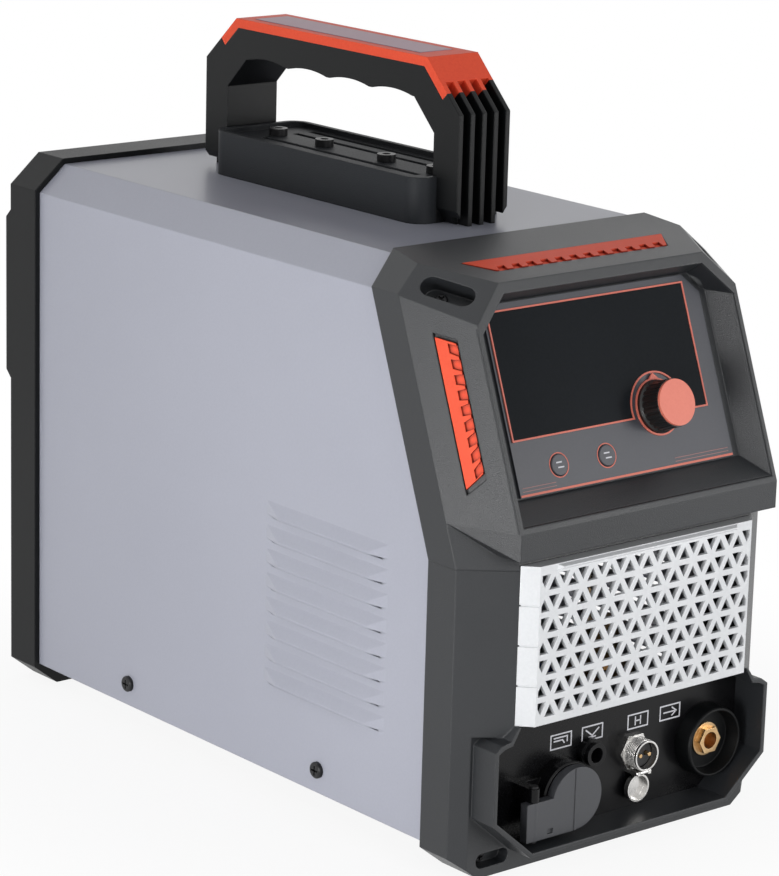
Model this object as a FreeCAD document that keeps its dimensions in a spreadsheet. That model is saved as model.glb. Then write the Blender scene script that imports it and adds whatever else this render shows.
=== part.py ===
import FreeCAD, Part
import math
import os
import re
import Sketcher

# Inverter plasma cutter: a folded steel cover between two moulded frames, with a tilted
# control panel, a silver air grille, a guarded connector bay and a carrying handle on top.
# X runs to the right as seen from the front, Y to the rear and Z up, in millimetres.
# Heights are taken from the ground and depths from the front face of the nose.

Vector = FreeCAD.Vector
Rotation = FreeCAD.Rotation
X_AXIS = Vector(1, 0, 0)
Y_AXIS = Vector(0, 1, 0)
Z_AXIS = Vector(0, 0, 1)

# Driving sizes: name, value, meaning
SIZES = [
    # whole case
    ("case_deep", 411.5, "nose face to the back of the rear frame"),
    ("bumper_deep", 4.5, "rear bumpers behind the rear frame"),
    ("cover_wide", 200, "outside width of the steel cover"),
    ("cover_side", 285, "ground to the top of the cover's upright sides"),
    ("cover_top", 299.5, "ground to the cover's flat top"),
    ("cover_low", 13.5, "ground to the cover's lower edge"),
    ("cover_shoulder", 16.6, "width of the cover's sloping shoulder"),
    ("gauge", 1.2, "sheet steel thickness"),
    ("base_flange", 26, "height of the base pan's side walls"),
    ("skin_gap", 0.2, "clearance between the cover and the frames"),
    ("edge_front", 48.3, "depth of the bezel's upright rear edge"),
    ("bend_high", 160, "height at which the front starts to lean back"),
    ("panel_tilt", 21, "lean of the control panel in degrees"),
    # front bezel
    ("frame_proud", 3, "how far the frames stand out past the cover's sides"),
    ("bezel_top", 302.5, "ground to the top rear edge of the bezel"),
    ("bezel_wall", 2.8, "wall of the moulded frames"),
    ("tongue", 2, "thickness of the tongues inside the cover"),
    ("tongue_reach", 9, "how far the tongues reach under the cover"),
    ("strip_front", 27.8, "depth of the front edge of the bezel's upright sides"),
    ("seat_front", 8.5, "depth of the face that carries the grille"),
    ("seat_in", 24.3, "grille's seat inside the frame's side"),
    ("nose_in", 16.5, "nose inside the frame's side"),
    ("nose_low", 167.4, "height of the nose's underside"),
    ("nose_high", 181.5, "height of the nose's front edge"),
    ("hood_high", 294, "height of the hood's front top edge"),
    ("corner_low", 276.7, "height of the lower front end of a corner facet"),
    ("corner_run", 18, "top corner facet inside the nose's side"),
    ("corner_turn", 77, "depth at which the corner facet bends forward"),
    ("foot_in", 15.2, "width of the lower corner chamfers"),
    ("foot_up", 11.8, "height of the lower corner chamfers"),
    # control panel, measured along and square to its lean from the nose's front edge
    ("tray_seam", 0.8, "seam of the panel tray below the hood's face"),
    ("recess_deep", 13.5, "depth of the panel below the hood's face"),
    ("recess_in", 9, "panel recess's floor inside the nose's side"),
    ("recess_low", 16.5, "lower end of the recess floor"),
    ("recess_high", 112.5, "upper end of the recess floor"),
    ("recess_corner", 10, "corner chamfers of the recess floor"),
    ("mouth_in", 2, "panel recess's mouth inside the nose's side"),
    ("mouth_low", 2.5, "lower edge of the recess mouth"),
    ("mouth_high", 115, "upper edge of the recess mouth"),
    ("mouth_corner", 18, "corner chamfers of the recess mouth"),
    ("overlay_in", 5.5, "overlay inside the recess's floor"),
    ("overlay_low", 17.2, "lower edge of the overlay plate"),
    ("overlay_high", 111.8, "upper edge of the overlay plate"),
    ("overlay_thick", 1.5, "thickness of the overlay plate"),
    ("window_left_in", 2.5, "display window inside the overlay's left edge"),
    ("window_right_in", 11.9, "display window inside the overlay's right edge"),
    ("window_low", 45.2, "lower edge of the display window"),
    ("window_high", 107.5, "upper edge of the display window"),
    ("window_proud", 0.4, "how far the window stands above the overlay"),
    ("trim_wide", 0.9, "width of the outline round the window"),
    ("trim_proud", 0.7, "height of the outline above the overlay"),
    ("knob_x", 27.4, "knob axis from the centre plane"),
    ("knob_v", 48.4, "knob axis up the panel"),
    ("knob_r", 12.6, "knob radius"),
    ("knob_tall", 14.5, "knob height above the overlay"),
    ("knob_gap", 0.6, "clearance under the knob"),
    ("knob_cap_r", 11.8, "radius of the knob's coloured cap"),
    ("knob_cap_thick", 1.4, "thickness of the knob's coloured cap"),
    ("knob_flutes", 24, "flutes round the knob"),
    ("flute_r", 0.9, "radius of a flute"),
    ("ring_out", 14.6, "outer radius of the ring round the knob"),
    ("ring_in", 13.7, "inner radius of the ring round the knob"),
    ("land_r", 17.2, "radius of the plain land round the knob"),
    ("pointer_tall", 2.4, "height of the pointer above the ring"),
    ("shaft_r", 3, "encoder shaft radius"),
    ("shaft_gap", 0.05, "running clearance of the encoder shaft"),
    ("bush_r", 4.5, "encoder bush radius"),
    ("encoder_side", 12, "encoder body side"),
    ("encoder_tall", 6.5, "encoder body height"),
    ("button_v", 29.5, "button centres up the panel"),
    ("button_left_x", -44, "left button from the centre plane"),
    ("button_right_x", -12.4, "right button from the centre plane"),
    ("button_r", 5.4, "button radius"),
    ("button_gap", 0.15, "clearance round a button"),
    ("button_proud", 0.9, "button height above the overlay"),
    ("button_travel", 0.5, "button travel"),
    ("board_gap", 12, "control board behind the recess floor"),
    ("board_thick", 1.6, "circuit board thickness"),
    ("standoff_r", 2.6, "standoff radius"),
    # accents
    ("accent_thick", 2, "thickness of the coloured strips"),
    ("accent_low_high", 199, "height of a side strip's lower end"),
    ("accent_top_high", 268.5, "height of a side strip's upper end"),
    ("accent_teeth", 9, "teeth along a side strip"),
    ("accent_near", 0.38, "strip's rear edge, as a share of the side facet"),
    ("accent_far", 0.655, "strip's front edge, as a share of the side facet"),
    ("tooth_deep", 1.2, "depth of the notches between the teeth"),
    ("top_accent_rear_in", 1.5, "top strip's rear end inside the corner facet"),
    ("top_accent_front_in", 11.5, "top strip's front end inside the corner facet"),
    ("top_accent_near", 57.5, "depth of the top strip's front edge"),
    ("top_accent_far", 72, "depth of the top strip's rear edge"),
    # grille
    ("grille_low", 81.3, "height of the grille's lower edge"),
    ("grille_high", 162.8, "height of the grille's upper edge"),
    ("grille_in", 7, "grille's face inside its seat"),
    ("grille_front", 1.5, "depth of the grille's face"),
    ("grille_wall", 2.4, "grille thickness"),
    ("cell_side", 12.47, "side of the grille's triangles"),
    ("cell_rows", 7, "rows of triangles"),
    ("cell_row_high", 10.8, "height of a row of triangles"),
    ("cell_first", 84, "height of the lowest bar's centre line"),
    ("cell_in", 1.2, "triangles inside the grille's face"),
    ("bar_wide", 3, "width of the bars between triangles"),
    ("brow_in", 10.7, "grille's brow inside the grille's face"),
    ("brow_low", 159.4, "height of the brow's lower edge"),
    ("brow_proud", 2.4, "how far the brow stands out"),
    # connector bay
    ("shoulder_rise", 4.2, "guard's upper edge above its side corner"),
    ("bay_front", 5, "depth of the guard's front edge"),
    ("bay_back", 21.5, "depth of the bezel's face round the guard"),
    ("bay_floor", 25.5, "depth of the bay's floor"),
    ("guard_in", 9.7, "connector guard inside the frame's side"),
    ("guard_wall", 2.2, "guard wall at the sides"),
    ("guard_lip", 2.2, "guard wall below"),
    ("guard_low", 11.5, "height of the guard's lower edge"),
    ("guard_flat", 68, "half width of the guard's lower edge"),
    ("guard_knee", 33.2, "height of the guard's lower side corner"),
    ("guard_shoulder", 71, "height of the guard's upper side corner"),
    ("torch_x", 67.4, "torch connector from the centre plane"),
    ("torch_high", 40.8, "torch connector height"),
    ("torch_front", 15, "depth of the torch shroud's rim"),
    ("torch_r", 18.6, "torch shroud radius"),
    ("torch_wall", 1.6, "torch shroud wall"),
    ("torch_pin_front", 18.5, "depth of the brass connector's face"),
    ("torch_flats", 13, "brass hexagon across flats"),
    ("torch_bore_r", 4.5, "threaded bore of the brass connector"),
    ("torch_bore_deep", 14, "depth of that bore"),
    ("torch_stem_r", 5.5, "brass stem radius through the floor"),
    ("trigger_x", 18.4, "trigger socket from the centre plane"),
    ("trigger_high", 43.8, "trigger socket height"),
    ("trigger_r", 8, "trigger socket radius"),
    ("trigger_wall", 0.9, "trigger socket wall"),
    ("trigger_proud", 11, "trigger socket above the floor"),
    ("trigger_nut_r", 10, "trigger socket nut radius across corners"),
    ("trigger_nut_thick", 2.2, "trigger socket nut thickness"),
    ("trigger_pin_r", 1, "contact pin radius"),
    ("trigger_pin_half", 3, "contact pins from the socket's axis"),
    ("cap_r", 7.4, "dust cap radius"),
    ("cap_tall", 4.2, "dust cap height"),
    ("cap_wall", 1, "dust cap wall"),
    ("cap_drop", 9.4, "dust cap hinge below the socket's axis"),
    ("cap_out", 8.5, "dust cap hinge in front of the bay's floor"),
    ("cap_barrel_r", 1.2, "dust cap hinge barrel radius"),
    ("cap_pin_r", 0.6, "dust cap hinge pin radius"),
    ("cap_pin_gap", 0.05, "running clearance on the dust cap's pin"),
    ("pilot_x", -13, "pilot connector from the centre plane"),
    ("pilot_high", 49.6, "pilot connector height"),
    ("pilot_r", 7.6, "pilot connector radius"),
    ("pilot_proud", 7, "pilot connector above the floor"),
    ("work_x", -32.8, "work lead socket from the centre plane"),
    ("work_high", 33.5, "work lead socket height"),
    ("work_r", 17.6, "work lead socket radius"),
    ("work_proud", 9.6, "work lead socket above the floor"),
    ("work_bore_r", 6.5, "work lead socket bore radius"),
    ("work_bore_deep", 24, "work lead socket bore depth"),
    ("lid_r", 16.3, "socket cover radius"),
    ("lid_thick", 5, "socket cover thickness"),
    ("lid_gap", 0.4, "gap between the cover and the socket"),
    ("lid_hinge_x", 27.4, "socket cover's hinge from the socket's axis"),
    ("ear_past", 6, "cover's ear beyond its hinge"),
    ("lid_pin_r", 1.2, "hinge pin radius"),
    ("lid_pin_gap", 0.05, "running clearance on the hinge pin"),
    ("lid_barrel_r", 3.0, "hinge barrel radius"),
    # handle
    ("handle_wide", 34, "handle width"),
    ("handle_front", 134.5, "depth of the handle's front face"),
    ("handle_back", 347.5, "depth of the handle's rear face"),
    ("handle_leg", 19.5, "thickness of the handle's legs"),
    ("handle_high", 383.5, "ground to the top of the handle"),
    ("handle_grip", 21.5, "height of the grip with its cap"),
    ("handle_front_run", 26.5, "length of the front corner chamfer"),
    ("handle_rear_run", 26.5, "length of the rear corner chamfer"),
    ("handle_rear_drop", 24.3, "height of the rear corner chamfer"),
    ("cap_rear_share", 0.5, "share of the rear chamfer that the cap covers"),
    ("handle_inner_run", 16.5, "inner corner chamfers"),
    ("handle_ribs", 5, "ribs on each end of the handle"),
    ("handle_groove", 5.2, "width of a groove between ribs"),
    ("handle_groove_deep", 8, "depth of a groove between ribs"),
    ("scallops", 4, "finger scallops under the grip"),
    ("scallop_deep", 2, "depth of a finger scallop"),
    ("capstrip_thick", 5, "thickness of the coloured cap on the grip"),
    ("inset_half", 11, "half width of the pale inset in the cap"),
    ("inset_front", 174, "depth of the inset's front end"),
    ("inset_back", 312, "depth of the inset's rear end"),
    ("inset_proud", 0.3, "height of the inset above the cap"),
    ("inset_thick", 1.2, "thickness of the inset"),
    ("tray_half", 30, "half width of the tray under the handle"),
    ("tray_front", 150.5, "depth of the tray's front end"),
    ("tray_back", 325, "depth of the tray's rear end"),
    ("tray_tall", 24, "height of the tray"),
    ("tray_round", 10, "corner radius of the tray"),
    ("tray_rim", 3.2, "width of the tray's rim"),
    ("tray_deep", 3, "depth of the recess in the tray"),
    ("slot_wide", 4, "width of the tray's slots"),
    ("slot_deep", 12, "depth of the tray's slots"),
    # louvres
    ("louvre_count", 8, "louvres on each side"),
    ("louvre_first", 62, "height of the lowest louvre"),
    ("louvre_step", 12.8, "louvre spacing"),
    ("louvre_front", 81.5, "depth of the louvres' front end"),
    ("louvre_long", 98, "louvre length"),
    ("louvre_taper", 12.8, "length of a louvre's sloping ends"),
    ("louvre_tall", 8.5, "louvre height"),
    ("louvre_proud", 3, "how far a louvre stands out"),
    # rear
    ("frame_deep", 24, "depth of the rear frame"),
    ("rear_rim", 9, "width of the rear frame's rim"),
    ("rear_set", 12, "rear panel inside the rear frame"),
    ("plate", 1.5, "thickness of the rear panel and base"),
    ("bumper_low", 176, "height of the rear bumpers' lower end"),
    ("bumper_high", 272, "height of the rear bumpers' upper end"),
    ("bumper_wide", 12, "width of a rear bumper"),
    ("fan_side", 120, "fan frame side"),
    ("fan_thick", 38, "fan frame thickness"),
    ("fan_r", 57, "fan opening radius"),
    ("fan_high", 92, "fan axis height"),
    ("fan_blades", 7, "fan blades"),
    ("hub_r", 21, "fan hub radius"),
    ("fan_pin_r", 2, "fan spindle radius"),
    ("fan_pin_gap", 0.05, "running clearance on the fan spindle"),
    ("guard_wire", 1.6, "wire of the fan guard"),
    ("guard_rings", 5, "rings of the fan guard"),
    ("switch_x", -52, "power switch from the centre plane"),
    ("switch_high", 232, "power switch height"),
    ("switch_wide", 30, "power switch opening width"),
    ("switch_tall", 40, "power switch opening height"),
    ("rocker_swing", 12, "rocker swing in degrees each way"),
    ("gland_x", 50, "cable gland from the centre plane"),
    ("gland_high", 232, "cable gland height"),
    ("gland_r", 11, "cable gland thread radius"),
    ("gland_bore_r", 7, "cable gland bore radius"),
    ("inlet_x", 0, "air inlet from the centre plane"),
    ("inlet_high", 190, "air inlet height"),
    ("inlet_r", 6.5, "air inlet barb radius"),
    ("inlet_bore_r", 3, "air inlet bore radius"),
    ("earth_x", -72, "earth stud from the centre plane"),
    ("earth_high", 42, "earth stud height"),
    ("earth_r", 3, "earth stud radius"),
    # inside
    ("shelf_high", 118, "height of the main board"),
    ("shelf_front", 120, "depth of the main board's front edge"),
    ("shelf_rear", 76.5, "main board's rear edge in front of the case's rear"),
    ("shelf_in", 12, "main board inside the cover's side"),
    ("sink_tall", 62, "heat sink height"),
    ("sink_wide", 56, "heat sink width"),
    ("sink_fins", 9, "heat sink fins"),
    ("sink_base", 7, "heat sink base thickness"),
    ("core_wide", 64, "transformer core width"),
    ("core_deep", 32, "transformer core depth"),
    ("core_tall", 56, "transformer core height"),
    ("choke_r", 27, "output choke radius"),
    ("choke_hole_r", 12, "output choke hole radius"),
    ("choke_tall", 26, "output choke height"),
    ("can_r", 15, "capacitor radius"),
    ("can_tall", 45, "capacitor height"),
    ("valve_wide", 26, "air valve body side"),
    ("pipe_r", 4, "air pipe radius"),
    ("pipe_clear", 5, "clearance between the air pipe and the transformer"),
    # fasteners
    ("side_screw_r", 4.4, "side screw head radius"),
    ("side_screw_tall", 2.4, "side screw head height"),
    ("side_screw_front", 133.5, "depth of the front side screws"),
    ("side_screw_back", 300, "depth of the rear side screws"),
    ("side_screw_high", 26, "height of the side screws"),
    ("corner_screw_r", 3.3, "corner screw head radius"),
    ("corner_screw_tall", 2.4, "corner screw head height"),
    ("pocket_half", 5.8, "half width of the top corner pockets"),
    ("pocket_shift", 0, "pocket's centre ahead of the middle of the corner facet"),
    ("pocket_long", 17, "length of the top corner pockets between centres"),
    ("pocket_deep", 11, "depth of the top corner pockets"),
    ("low_pocket_in", 24.2, "lower corner pockets inside the frame's side"),
    ("low_pocket_high", 8.9, "height of the lower corner pockets"),
    ("low_pocket_r", 3.9, "radius of the lower corner pockets"),
    ("low_pocket_long", 13.4, "length of the lower corner pockets between centres"),
    ("low_pocket_deep", 7, "depth of the lower corner pockets"),
    ("handle_bolt_r", 5, "handle bolt head radius"),
    ("handle_bolt_tall", 4, "handle bolt head height"),
    ("rear_screw_r", 3.4, "rear screw head radius"),
    ("rear_screw_in", 8, "rear screws inside the rear rim"),
    ("rear_screw_low", 32, "height of the lowest rear screws"),
    ("rear_screw_step", 120, "spacing of the rear screws"),
]

# Sizes that follow from the driving ones
FOLLOWING = [
    ("bezel_half", "cover_wide / 2 + frame_proud"),
    ("nose_half", "bezel_half - nose_in"),
    ("guard_half", "bezel_half - guard_in"),
    ("seat_half", "bezel_half - seat_in"),
    ("notch_high", "guard_shoulder + shoulder_rise"),
    ("grille_half", "seat_half - grille_in"),
    ("low_pocket_x", "bezel_half - low_pocket_in"),
    ("corner_in", "nose_half - corner_run"),
    ("recess_half", "nose_half - recess_in"),
    ("mouth_half", "nose_half - mouth_in"),
    ("overlay_half", "recess_half - overlay_in"),
    ("window_left", "window_left_in - overlay_half"),
    ("window_right", "overlay_half - window_right_in"),
    ("brow_half", "grille_half - brow_in"),
    ("cell_half", "grille_half - cell_in"),
    ("core_x", "inlet_x + pipe_r + pipe_clear"),
    ("top_accent_rear", "corner_in - top_accent_rear_in"),
    ("top_accent_front", "corner_in - top_accent_front_in"),
    ("shelf_half", "cover_wide / 2 - shelf_in"),
    ("shelf_back", "case_deep - shelf_rear"),
]

doc = FreeCAD.newDocument("plasma_cutter")
sheet = doc.addObject("Spreadsheet::Sheet", "Sizes")
for row, (name, value, meaning) in enumerate(SIZES, start=1):
    sheet.set(f"A{row}", meaning)
    sheet.set(f"B{row}", str(value))
    sheet.setAlias(f"B{row}", name)
for row, (name, rule) in enumerate(FOLLOWING, start=len(SIZES) + 1):
    sheet.set(f"B{row}", "=" + rule)
    sheet.setAlias(f"B{row}", name)
doc.recompute()

NAMES = {entry[0] for entry in SIZES + FOLLOWING}
PARTS = []


def size(name):
    """One driving size, read from the sheet."""
    return float(sheet.get(name))


def formula(text):
    """The text with each size name turned into its sheet cell."""
    return re.sub(r"[a-z]\w*", lambda m: "Sizes." + m[0] if m[0] in NAMES else m[0], str(text))


def number(text):
    """The value of a formula now, with angles in degrees."""
    known = {name: size(name) for name in re.findall(r"[a-z]\w*", str(text)) if name in NAMES}
    result = str(text)
    for name in sorted(known, key=len, reverse=True):
        result = re.sub(rf"\b{name}\b", f"({known[name]!r})", result)
    return float(FreeCAD.Units.Quantity(result.replace("tan(", "tan(1 deg * ").replace("cos(", "cos(1 deg * ")
                                        .replace("sin(", "sin(1 deg * ")).Value)


FRONT = "(case_deep + bumper_deep) / 2"
half = size("bezel_half")
tilt = math.radians(size("panel_tilt"))
lean = math.tan(tilt)
front_y = -(size("case_deep") + size("bumper_deep")) / 2


def keep(obj, name):
    """Label a finished sub-part, which names its node."""
    obj.Label = name
    PARTS.append(obj)
    return obj


def place(obj, x, y, z, axis=X_AXIS, angle=0):
    """Put an object at formulas for its place in the case, turned about one axis."""
    obj.Placement = FreeCAD.Placement(Vector(), Rotation(axis, angle))
    obj.setExpression("Placement.Base.x", formula(x))
    obj.setExpression("Placement.Base.y", formula(f"({y}) - {FRONT}"))
    obj.setExpression("Placement.Base.z", formula(z))
    return obj


def place_on_panel(obj, u, v, w):
    """Put an object on the leaning panel: u across, v up the lean, w out from the hood's face."""
    place(obj, u, f"({v}) * sin(panel_tilt) - ({w}) * cos(panel_tilt)",
          f"nose_high + ({v}) * cos(panel_tilt) + ({w}) * sin(panel_tilt)", X_AXIS, 90 - size("panel_tilt"))
    obj.setExpression("Placement.Rotation.Angle", formula("90 - panel_tilt"))
    return obj


def place_forward(obj, x, y, z):
    """Put an object whose own Z axis points out of the front."""
    return place(obj, x, y, z, X_AXIS, 90)


def place_rearward(obj, x, y, z):
    """Put an object whose own Z axis points out of the rear."""
    return place(obj, x, y, z, X_AXIS, -90)


def sketch(body, role, points):
    """A closed outline whose corners are formulas, on one of the body's own planes."""
    plane = next(f for f in body.Origin.OriginFeatures if f.Role == role)
    outline = body.newObject("Sketcher::SketchObject", body.Name + "_outline")
    outline.AttachmentSupport = (plane, "")
    outline.MapMode = "FlatFace"
    corners = [Vector(number(a), number(b), 0) for a, b in points]
    count = len(corners)
    for i in range(count):
        outline.addGeometry(Part.LineSegment(corners[i], corners[(i + 1) % count]), False)
    for i in range(count):
        outline.addConstraint(Sketcher.Constraint("Coincident", i, 2, (i + 1) % count, 1))
    for i, (a, b) in enumerate(points):
        across = outline.addConstraint(Sketcher.Constraint("DistanceX", -1, 1, i, 1, corners[i].x))
        up = outline.addConstraint(Sketcher.Constraint("DistanceY", -1, 1, i, 1, corners[i].y))
        outline.setExpression(f"Constraints[{across}]", formula(a))
        outline.setExpression(f"Constraints[{up}]", formula(b))
    return outline


def padded(name, points, length, role="XY_Plane", reverse=False):
    """A body: one outline padded to a length."""
    body = doc.addObject("PartDesign::Body", name)
    outline = sketch(body, role, points)
    pad = body.newObject("PartDesign::Pad", name + "_pad")
    pad.Profile = outline
    pad.Reversed = reverse
    pad.setExpression("Length", formula(length))
    return body


def turned(name, points):
    """A body: one outline of radius and height turned about the body's own Z axis."""
    body = doc.addObject("PartDesign::Body", name)
    outline = sketch(body, "XZ_Plane", points)
    spin = body.newObject("PartDesign::Revolution", name + "_turn")
    spin.Profile = outline
    spin.ReferenceAxis = (outline, ["V_Axis"])
    spin.Angle = 360
    return body


def box(name, x, y, z, wide, deep, tall):
    """A plain block from its lowest corner in the case."""
    block = doc.addObject("Part::Box", name)
    block.setExpression("Length", formula(wide))
    block.setExpression("Width", formula(deep))
    block.setExpression("Height", formula(tall))
    return place(block, x, y, z)


def rod(name, radius, height):
    """A plain cylinder about its own Z axis."""
    cylinder = doc.addObject("Part::Cylinder", name)
    cylinder.setExpression("Radius", formula(radius))
    cylinder.setExpression("Height", formula(height))
    return cylinder


def joined(name, pieces):
    """Several touching pieces made one."""
    fuse = doc.addObject("Part::MultiFuse", name)
    fuse.Shapes = pieces
    fuse.Refine = True
    return fuse


def cut(name, base, tool):
    """One piece less another."""
    rest = doc.addObject("Part::Cut", name)
    rest.Base = base
    rest.Tool = tool
    rest.Refine = True
    return rest


def grouped(name, pieces):
    """Separate solids kept together under one name."""
    group = doc.addObject("Part::Compound", name)
    group.Links = pieces
    return group


def shaped(name, shape):
    """A piece whose solid is worked out here, standing in the case."""
    piece = doc.addObject("Part::Feature", name)
    piece.Shape = shape
    piece.Placement = FreeCAD.Placement(Vector(0, front_y, 0), Rotation())
    return piece


# Solids worked out from corners

def prism(points, way):
    """A flat outline swept straight along a vector."""
    return Part.Face(Part.makePolygon(points + points[:1])).extrude(way)


def side_prism(profile, reach):
    """An outline of depth and height, swept across the whole width."""
    return prism([Vector(-reach, y, z) for y, z in profile], Vector(2 * reach, 0, 0))


def front_prism(profile, near, far):
    """An outline of width and height, swept from one depth to another."""
    return prism([Vector(x, near, z) for x, z in profile], Vector(0, far - near, 0))


def flat_prism(profile, low, high, drift=0):
    """An outline of width and depth, swept upwards, leaning back by drift."""
    return prism([Vector(x, y, low) for x, y in profile], Vector(0, drift, high - low))


def beyond(point, normal, reach=500):
    """Everything on the far side of a plane."""
    slab = Part.makeBox(2 * reach, 2 * reach, reach, Vector(-reach, -reach, 0))
    slab.Placement = FreeCAD.Placement(point, Rotation(Z_AXIS, normal))
    return slab


def mirrored(points):
    """A right-hand outline of width and another size, closed by its left-hand twin."""
    return points + [(-x, other) for x, other in reversed(points)]


def on_panel(u, v, w):
    """A point on the leaning panel, in the case."""
    return Vector(u, v * math.sin(tilt) - w * math.cos(tilt),
                  size("nose_high") + v * math.cos(tilt) + w * math.sin(tilt))


def edge_y(high):
    """Depth of the bezel's rear edge at a height."""
    return size("edge_front") + lean * max(0, high - size("bend_high"))


def hood_y(high):
    """Depth of the hood's face at a height."""
    return lean * (high - size("nose_high"))


def shoulder_offset(grow):
    """The two ends of the cover's shoulder line, moved outwards by grow."""
    wide = size("cover_shoulder")
    tall = size("cover_top") - size("cover_side")
    slope = math.hypot(wide, tall)
    side = size("cover_wide") / 2 + grow
    top = size("cover_top") + grow
    level = (size("cover_wide") / 2) * tall / slope + size("cover_side") * wide / slope + grow
    return (side, (level - side * tall / slope) * slope / wide), ((level - top * wide / slope) * slope / tall, top)


def arch(grow, low):
    """Outline of the cover across the case, moved outwards by grow, down to a height."""
    lower, upper = shoulder_offset(grow)
    return mirrored([(lower[0], low), lower, upper])


# Steel cover and base

def bolt_depths():
    """Where the bolts pass through the tray."""
    near, far = size("tray_front"), size("tray_back")
    return [near + (far - near) * share for share in (0.12, 0.35, 0.65, 0.88)]


def side_screw_holes(clearance):
    """Bars through both sides of the case where the side screws go."""
    return [Part.makeCylinder(size("side_screw_r") / 2 + clearance, 2 * size("cover_wide"),
                              Vector(-size("cover_wide"), y, size("side_screw_high")), X_AXIS)
            for y in (size("side_screw_front"), size("side_screw_back"))]


def louvre(side):
    """One pressed louvre with its slot: a wedge that opens downwards."""
    x = size("cover_wide") / 2
    proud, tall, gauge = size("louvre_proud"), size("louvre_tall"), size("gauge")
    y0, length = size("louvre_front"), size("louvre_long")
    outer = [(x - gauge / 2, 0), (x + proud, 0), (x + proud, tall * 0.14), (x - gauge / 2, tall)]
    inner = [(x - 2 * gauge, -gauge), (x + proud - gauge, -gauge), (x + proud - gauge, tall * 0.14),
             (x - 2 * gauge, tall * 0.75)]
    taper = size("louvre_taper")
    hood = prism([Vector(side * a, y0, b) for a, b in outer], Vector(0, length, 0))
    hollow = prism([Vector(side * a, y0 + gauge, b) for a, b in inner], Vector(0, length - 2 * gauge, 0))
    for y, way in ((y0, -1), (y0 + length, 1)):
        slope = Vector(side * taper, way * proud, 0)
        hood = hood.cut(beyond(Vector(side * x, y, 0), slope))
        hollow = hollow.cut(beyond(Vector(side * x, y, 0) - slope.normalize() * gauge, slope))
    return hood, hollow


def steel_cover():
    """The folded cover with louvres pressed out of both sides."""
    low, near, far = size("cover_low"), size("edge_front"), size("case_deep") - size("frame_deep")
    outer = front_prism(arch(0, low), near - 1, far + 1)
    inner = front_prism(arch(-size("gauge"), low - 1), near - 2, far + 2)
    gap = size("skin_gap")
    top = size("cover_top") + 1
    span = [(edge_y(0) + gap, 0), (edge_y(0) + gap, size("bend_high")), (edge_y(top) + gap, top),
            (far - gap, top), (far - gap, 0)]
    skin = outer.cut(inner).common(side_prism(span, size("cover_wide")))
    for side in (-1, 1):
        hood, hollow = louvre(side)
        for i in range(int(size("louvre_count"))):
            lift = Vector(0, 0, size("louvre_first") + i * size("louvre_step"))
            skin = skin.fuse(hood.translated(lift)).cut(hollow.translated(lift))
    holes = side_screw_holes(0.3)
    for y in bolt_depths():
        holes.append(Part.makeCylinder(size("handle_bolt_r") * 0.6 + 0.3, 10, Vector(0, y, size("cover_top") - 5),
                                       Z_AXIS))
    return skin.cut(holes)


keep(shaped("cover", steel_cover()), "cover")

base_floor = box("base_floor", "-cover_wide / 2 + gauge + skin_gap", "edge_front + tongue_reach + 2",
                 "cover_low + 1", "cover_wide - 2 * gauge - 2 * skin_gap",
                 "case_deep - frame_deep - edge_front - 2 * tongue_reach - 4", "plate")
base_walls = []
for side, label in ((-1, "left"), (1, "right")):
    inside = "cover_wide / 2 - gauge - skin_gap"
    edge = f"-({inside})" if side < 0 else f"{inside} - plate"
    base_walls.append(box("base_wall_" + label, edge, "edge_front + tongue_reach + 2", "cover_low + 1", "plate",
                          "case_deep - frame_deep - edge_front - 2 * tongue_reach - 4", "base_flange"))
base_bars = shaped("base_bars", Part.makeCompound(side_screw_holes(0.3)))
keep(cut("base_drilled", joined("base_bent", [base_floor] + base_walls), base_bars), "base_pan")


# Front bezel

def corner_marks(side):
    """Bend, lower front end and upper front end of a top corner facet's front part."""
    lower, _ = shoulder_offset(half - size("cover_wide") / 2)
    return (Vector(side * lower[0], size("corner_turn"), lower[1]),
            Vector(side * size("nose_half"), hood_y(size("corner_low")), size("corner_low")),
            Vector(side * size("corner_in"), hood_y(size("hood_high")), size("hood_high")))


def corner_planes(side):
    """The two planes of a top corner facet: level with the cover's shoulder, then leaning forward."""
    lower, upper = shoulder_offset(half - size("cover_wide") / 2)
    shoulder = Vector(side * (upper[1] - lower[1]), 0, lower[0] - upper[0]).normalize()
    bend, front_low, front_high = corner_marks(side)
    facing = (front_low - bend).cross(front_high - bend).normalize()
    return (Vector(side * lower[0], 0, lower[1]), shoulder), (bend, facing if facing.z > 0 else facing * -1)


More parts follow.
